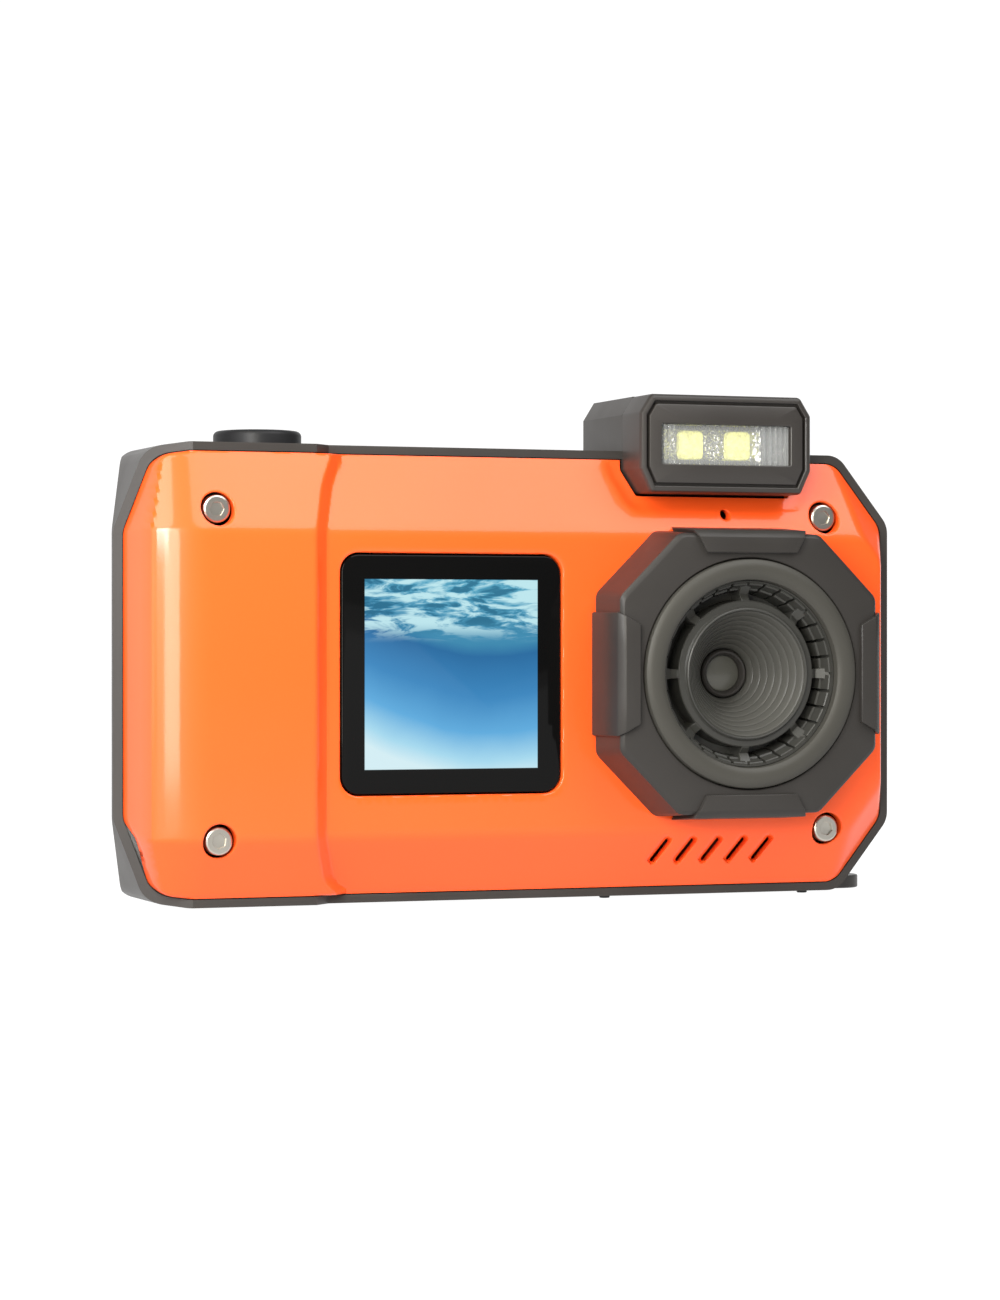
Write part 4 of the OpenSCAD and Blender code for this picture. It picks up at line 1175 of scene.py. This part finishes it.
@dataclass
class LampHead:
    """Lamp head: housing with an inset panel, ribbed window, foil tray and two diodes."""

    shop: Workshop

    def housing(self) -> Skin:
        """Front half of the head with a rounded rim and a shallow tray for the panel."""
        low, high = node_box("lamp_housing")
        y0, y1 = low[1], high[1]
        profile = [(0.0, y1), (0.0, y0 + 0.75), (0.08, y0 + 0.4), (0.28, y0 + 0.12), (0.6, y0), (0.85, y0),
                   (0.95, y0 + 0.08), (0.98, y0 + 0.9), (2.6, y0 + 0.9), (2.6, y1)]
        return plate(lamp_outline(), 0.8, profile, wrap=True, steps=5)

    def panel(self) -> Skin:
        """Inset panel that runs in to the rectangular window opening."""
        low, _ = node_box("lamp_housing")
        y0 = low[1]
        wlow, whigh = node_box("lamp_window")
        middle = (wlow + whigh) / 2
        centre = middle[[0, 2]]
        angle = np.linspace(0, 2 * math.pi, 360, endpoint=False)
        rows = [(reach_of(round_loop(lamp_outline(), 0.9, inset, 5), centre, angle), y)
                for inset, y in ((1.4, y0 + 0.95), (1.4, y0 + 0.2), (1.46, y0 + 0.08), (1.6, y0 + 0.02))]
        for inset, y in ((-0.1, y0 + 0.02), (0.02, y0 + 0.1), (0.06, y0 + 0.95)):
            window = box_corners(middle[0] - 10.15, middle[2] - 2.9, middle[0] + 10.15, middle[2] + 2.9)
            rows.append((reach_of(round_loop(window, 0.25, inset, 4), centre, angle), y))
        return loft(around(rows, angle, centre[0], centre[1]), wrap=True)

    def window(self) -> Skin:
        """Clear window whose front carries upright ribs near both ends."""
        low, high = node_box("lamp_window")
        y0 = low[1]
        x = np.linspace(low[0] + 0.72, high[0] - 0.72, 241)
        z = np.array([low[2] + 0.98, high[2] - 0.98])
        along = (x - x.min()) / (x.max() - x.min())
        ribs = np.zeros_like(x)
        for place in (0.035, 0.075, 0.105, 0.745, 0.80, 0.85, 0.895, 0.935, 0.975):
            ribs += np.exp(-(((along - place) / 0.009) ** 2))
        front = y0 + 0.5 - 0.42 * ribs
        rear = np.full_like(x, y0 + 0.9)
        ends = ((front, z[1]), (front, z[0]), (rear, z[0]), (rear, z[1]))
        return loft(np.stack([np.stack([x, y, np.full_like(x, up)], axis=1) for y, up in ends], axis=1))

    def dashes(self) -> Skin:
        """Rows of short dark blocks along the upper and lower edge of the window."""
        low, high = node_box("lamp_window")
        y = high[1] + 0.15
        blocks = []
        for z in (low[2] + 1.35, high[2] - 1.35):
            for x in np.arange(low[0] + 1.6, high[0] - 1.4, 0.78):
                blocks.append(plate(box_corners(x - 0.27, z - 0.3, x + 0.27, z + 0.3), 0.08,
                                    [(0.0, y + 0.5), (0.0, y + 0.05), (0.05, y)], steps=2))
        return joined(blocks)

    def tray(self) -> Skin:
        """Crinkled foil tray: a shallow dish whose inner face carries small random facets."""
        low, high = node_box("lamp_reflector")
        rng = np.random.default_rng(7)
        nx, nz = 64, 24
        x = np.linspace(low[0] + 1.6, high[0] - 4.4, nx)
        z = np.linspace(low[2] + 0.2, high[2] - 0.2, nz)
        gx, gz = np.meshgrid(x, z)
        border = np.minimum(np.minimum(gx - x[0], x[-1] - gx), np.minimum(gz - z[0], z[-1] - gz))
        depth = low[1] + 0.2 + 2.0 * fade(border, 0.0, 2.4)
        facets = rng.random((nz, nx)) * 0.45
        depth = depth + facets * fade(border, 0.1, 0.6)
        front = np.stack([gx, depth, gz], axis=-1).reshape(-1, 3)
        back = front.copy()
        back[:, 1] = high[1]
        index = np.arange(nx * nz).reshape(nz, nx)
        quads = np.stack([index[:-1, :-1], index[:-1, 1:], index[1:, 1:], index[1:, :-1]], axis=-1).reshape(-1, 4)
        ring = np.concatenate([index[0], index[1:, -1], index[-1, -2::-1], index[-2:0:-1, 0]])
        sides = np.stack([np.roll(ring, -1), ring, ring + nx * nz, np.roll(ring, -1) + nx * nz], axis=1)
        faces = quads.tolist() + (quads[:, ::-1] + nx * nz).tolist() + sides.tolist()
        return Skin(np.concatenate([front, back]), faces)

    def diode(self, x: float, z: float, y: float) -> Skin:
        """One square diode: a soft-edged pad with a slightly raised middle."""
        corners = box_corners(x - 1.85, z - 2.05, x + 1.85, z + 2.05)
        profile = [(0.0, y + 1.2), (0.0, y + 0.25), (0.12, y + 0.08), (0.35, y), (0.9, y - 0.06), (1.4, y - 0.08)]
        return plate(corners, 0.7, profile, steps=6)

    def build(self) -> None:
        """Makes the lamp head."""
        shell = Stock.SHELL.value
        self.shop.make("lamp_hood", self.housing(), shell, "root", "shell_plastic", ("lamp_housing",))
        self.shop.make("lamp_face", self.panel(), shell, "root", "shell_plastic", ("lamp_panel",))
        self.shop.make("ribbed_window", self.window(), Stock.CLEAR.value, "root", "optical_glass",
                       ("lamp_window",))
        self.shop.make("window_teeth", self.dashes(), Stock.BLACK.value, "root", "black_plastic")
        self.shop.make("foil_tray", self.tray(), Stock.FOIL.value, "root", "reflector_foil", ("lamp_reflector",))
        low, high = node_box("lamp_leds")
        y = low[1] - 0.9
        pads = [self.diode(x, (low[2] + high[2]) / 2, y) for x in (low[0] + 1.7, high[0] - 1.3)]
        self.shop.make("lamp_diodes", joined(pads), Stock.PHOSPHOR.value, "root", "led_phosphor", ("lamp_leds",))


@dataclass
class Buttons:
    """Shutter button with a dished top, power button and seven rear keys."""

    shop: Workshop
    travel: float = 1.0

    def upright(self, node: str, profile: list[tuple[float, float]]) -> Skin:
        """A turned button on an upright axis: radius and depth below its top."""
        low, high = node_box(node)
        middle = (low + high) / 2
        radius, depth = np.array(profile).T
        angle = np.linspace(0, 2 * math.pi, 96, endpoint=False)
        rows = np.empty((len(profile), 96, 3))
        rows[..., 0] = middle[0] + radius[:, None] * np.cos(angle)
        rows[..., 1] = middle[1] + radius[:, None] * np.sin(angle)
        rows[..., 2] = high[2] - depth[:, None]
        return loft(rows)

    def shutter(self) -> Skin:
        """Shutter button: rounded rim, dished centre and a plain stem."""
        low, high = node_box("shutter_button")
        r = (high[0] - low[0]) / 2
        rim = [(r - 0.75 + 0.75 * math.sin(a), 0.75 - 0.75 * math.cos(a)) for a in np.linspace(1.5, -0.9, 9)]
        dish = [(r * s, 0.32 + 0.5 * (1 - s * s)) for s in (0.8, 0.65, 0.5, 0.35, 0.2, 0.004)]
        stem = [(0.01, high[2] - low[2]), (1.5, high[2] - low[2]), (1.5, 3.6), (r, 3.6)]
        return self.upright("shutter_button", stem + rim + dish)

    def power(self) -> Skin:
        """Power button: a flat-topped cap with a fine ring."""
        low, high = node_box("power_button")
        r = (high[0] - low[0]) / 2
        profile = [(0.01, high[2] - low[2]), (1.2, high[2] - low[2]), (1.2, 2.6), (r, 2.6), (r, 0.45),
                   (r - 0.12, 0.2), (r - 0.4, 0.08), (r - 0.8, 0.05), (r - 0.95, 0.22), (r - 1.15, 0.22),
                   (r - 1.3, 0.05), (0.01, 0.0)]
        return self.upright("power_button", profile)

    def key(self, node: str) -> Skin:
        """Rear key: a low dome with a groove near its edge."""
        low, high = node_box(node)
        middle = (low + high) / 2
        r = 3.4
        top = high[1]
        profile = [(0.01, low[1]), (r + 0.5, low[1]), (r + 0.5, low[1] + 0.6), (r, low[1] + 0.6), (r, top - 0.4),
                   (r - 0.15, top - 0.18), (r - 0.5, top - 0.1), (r - 0.62, top - 0.2), (r - 0.8, top - 0.2),
                   (r - 0.92, top - 0.08), (r * 0.4, top - 0.02), (0.01, top)]
        return revolved(profile, np.array([middle[0], 0.0, middle[2]]), 72, wrap=False)

    def spring(self) -> None:
        """Return spring of the shutter button, copied from the frame with a mesh of its own."""
        coil = self.shop.softened_copy("return_spring", "shutter_spring", Stock.STEEL.value, "root",
                                       frame_slot("shutter_spring"), 0.0)
        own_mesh(coil)

    def build(self) -> None:
        """Makes every button on the body that carries it."""
        cap = Stock.BUTTON.value
        self.spring()
        self.shop.make("shutter_cap", self.shutter(), cap, "shutter", "button_plastic", ("shutter_button",))
        self.shop.make("power_cap", self.power(), cap, "power", "button_plastic", ("power_button",))
        for key in ("ok", "up", "down", "left", "right", "mode", "play"):
            self.shop.make(f"{key}_cap", self.key(f"{key}_button"), cap, f"{key}_key", "button_plastic",
                           (f"{key}_button",))


@dataclass
class Casing:
    """Rear shell, door, lug and the small pieces of the underside."""

    shop: Workshop
    pitch: float = 1.27

    def threaded(self) -> Skin:
        """Tripod insert: a collar whose bore carries a helical thread.

        The bore's radius is the core radius plus a triangle wave of height / pitch - turn.
        """
        low, high = node_box("tripod_insert")
        middle = (low + high) / 2
        cols = 96
        angle = np.linspace(0, 2 * math.pi, cols, endpoint=False)
        heights = np.linspace(low[2] + 0.35, low[2] + 5.4, 90)
        wave = (heights[:, None] / self.pitch - angle[None] / (2 * math.pi)) % 1
        bore = 3.2 + 0.5 * np.abs(wave * 2 - 1)
        outer = (high[0] - low[0]) / 2
        rings = [(np.full(cols, outer), high[2]), (np.full(cols, outer), low[2] + 0.3),
                 (np.full(cols, outer - 0.2), low[2] + 0.08), (np.full(cols, outer - 0.4), low[2] + 0.02),
                 (np.full(cols, 4.0), low[2] + 0.02)]
        rings += list(zip(bore, heights)) + [(np.full(cols, 3.2), low[2] + 5.5), (np.full(cols, 0.02), low[2] + 5.5)]
        rows = np.array([np.stack([middle[0] + r * np.cos(angle), middle[1] + r * np.sin(angle),
                                   np.full(cols, z)], axis=1) for r, z in rings])
        return loft(rows)

    def build(self) -> None:
        """Makes the casing pieces."""
        shell = Stock.SHELL.value
        copy = self.shop.softened_copy
        copy("shell_moulding", "rear_shell", shell, "root", "shell_plastic", 0.28)
        copy("door_moulding", "battery_door", shell, "door", "shell_plastic", 0.18)
        copy("lug_moulding", "strap_lug", shell, "root", "shell_plastic", 0.2)
        copy("latch_slider", "door_latch", Stock.BLACK.value, "latch", frame_slot("door_latch"), 0.08)
        copy("hinge_ears", "hinge_bracket", Stock.STEEL.value, "root", frame_slot("hinge_bracket"), 0.08)
        copy("rubber_feet", "foot_pips", Stock.RUBBER.value, "root", frame_slot("foot_pips"), 0.12)
        self.shop.make("threaded_insert", self.threaded(), Stock.BRASS.value, "root", "brass", ("tripod_insert",))


def frame_slot(node: str) -> str:
    """The slot whose entry in the record lists a CAD node, or black_plastic where none does."""
    for entry in frame["record"]["materials"]:
        if node in entry.get("nodes", []):
            return entry["slot"]
    return "black_plastic"


class Inside:
    """Dresses the CAD nodes that stay, with the finish of the slot that frame_slot gives."""

    FINISHES = {finish.value.name: finish.value for finish in Stock}

    def build(self) -> None:
        """Gives every remaining CAD node a procedural material."""
        for name, node in frame["nodes"].items():
            finish = self.FINISHES.get(frame_slot(name), Stock.BLACK.value)
            node.data.materials.clear()
            node.data.materials.append(finish.material())
        LOG.info("dressed %d nodes of the frame", len(frame["nodes"]))


# ---------------------------------------------------------------- studio


@dataclass
class Studio:
    """Pale floor, white backdrop, soft lights and the camera."""

    eye: tuple[float, float, float] = (-178.53, -477.59, 36.0)
    azimuth: float = math.radians(20.5)
    pitch: float = math.radians(-0.0715)
    focal: float = 97.67

    def camera(self) -> None:
        """Puts the camera at its place: 36 mm along the long side of the frame."""
        data = bpy.data.cameras.new("view")
        data.sensor_fit = "VERTICAL"
        data.sensor_height = 36.0
        data.lens = self.focal
        data.clip_start = 0.01
        eye = bpy.data.objects.new("view", data)
        eye.location = Vector(self.eye) * MM
        eye.rotation_euler = (math.pi / 2 + self.pitch, 0.0, -self.azimuth)
        bpy.context.scene.collection.objects.link(eye)
        bpy.context.scene.camera = eye

    def light(self, name: str, place: tuple[float, float, float], size: tuple[float, float], watts: float,
              aim: tuple[float, float, float] = (0.0, 0.0, 0.03), colour: Colour = (1.0, 1.0, 1.0)) -> None:
        """Adds a rectangular soft light that faces a point, in metres."""
        data = bpy.data.lights.new(name, "AREA")
        data.shape = "RECTANGLE"
        data.size, data.size_y = size
        data.energy = watts
        data.color = colour
        lamp = bpy.data.objects.new(name, data)
        lamp.location = place
        lamp.rotation_euler = (Vector(aim) - Vector(place)).to_track_quat("-Z", "Y").to_euler()
        bpy.context.scene.collection.objects.link(lamp)

    def sweep(self) -> None:
        """Floor that rises in a soft curve to a backdrop, well behind the object."""
        run = np.linspace(0, 1, 40)
        y = np.where(run < 0.6, -1.6 + run / 0.6 * 2.4, 0.8 + 0.5 * np.sin((run - 0.6) / 0.4 * math.pi / 2))
        z = np.where(run < 0.6, 0.0, 1.6 * (1 - np.cos((run - 0.6) / 0.4 * math.pi / 2)))
        x = np.array([-2.5, 2.5])
        base = node_box("foot_pips")[0][2] * MM
        points = np.stack([np.tile(x, len(run)), np.repeat(y, 2), np.repeat(z, 2) + base], axis=1)
        index = np.arange(len(run) * 2).reshape(-1, 2)
        faces = np.stack([index[:-1, 0], index[:-1, 1], index[1:, 1], index[1:, 0]], axis=1).tolist()
        mesh = bpy.data.meshes.new("sweep")
        mesh.from_pydata(points.tolist(), [], faces)
        mesh.shade_smooth()
        floor = bpy.data.objects.new("sweep", mesh)
        bpy.context.scene.collection.objects.link(floor)
        graph = Graph("sweep_paper")
        place = graph.node("TexCoord", pick="Object")
        cloud = graph.node("TexNoise", pick="Fac", Vector=place, Scale=6.0)
        tone = graph.mix(cloud, (0.10, 0.10, 0.10, 1), (0.12, 0.12, 0.12, 1))
        parts = graph.node("SeparateXYZ", Vector=place).socket.node
        near = Socket(graph, parts.outputs[1]).above(-0.45, 0.16)
        glow = graph.mix(near, (0.5, 0.5, 0.5, 1), (1.0, 1.0, 1.0, 1))
        surface = graph.node("BsdfPrincipled", Base_Color=tone, Roughness=0.9, Specular_IOR_Level=0.1,
                             Emission_Color=glow, Emission_Strength=1.0)
        mesh.materials.append(graph.finish(surface))

    def world(self) -> None:
        """Even pale surroundings."""
        world = bpy.data.worlds.new("studio")
        world.use_nodes = True
        back = world.node_tree.nodes["Background"]
        back.inputs["Color"].default_value = (0.9, 0.93, 1.0, 1.0)
        back.inputs["Strength"].default_value = 0.10
        bpy.context.scene.world = world

    def build(self) -> None:
        """Sets up the whole studio."""
        self.camera()
        self.sweep()
        self.world()
        self.light("top_box", (0.25, -0.42, 0.62), (0.7, 0.5), 5.0)
        self.light("left_strip", (-0.25, -0.42, 0.06), (0.11, 0.5), 2.5, aim=(-0.05, -0.01, 0.03),
                   colour=(1.0, 0.96, 0.84))
        self.light("upper_left", (-0.30, -0.28, 0.50), (0.22, 0.22), 1.5, colour=(1.0, 0.97, 0.86))
        self.light("near_left", (-0.14, -0.14, 0.10), (0.03, 0.10), 0.32, aim=(-0.06, -0.01, 0.03))
        self.light("left_fill", (-0.75, -0.35, 0.25), (0.5, 0.7), 2.5)
        bpy.context.scene.view_settings.view_transform = "Standard"


def main() -> None:
    """Builds the object and the studio, and logs each group as it is done."""
    logging.basicConfig(level=logging.INFO, format="%(name)s %(message)s")
    studio = Studio()
    studio.build()
    Inside().build()
    shop = Workshop()
    for group in (FrontCover(shop), CoverScrews(shop), LensGroup(shop), Screens(shop), LampHead(shop),
                  Buttons(shop), Casing(shop)):
        group.build()
        LOG.info("%s done", type(group).__name__)


if __name__ == "__main__":
    main()
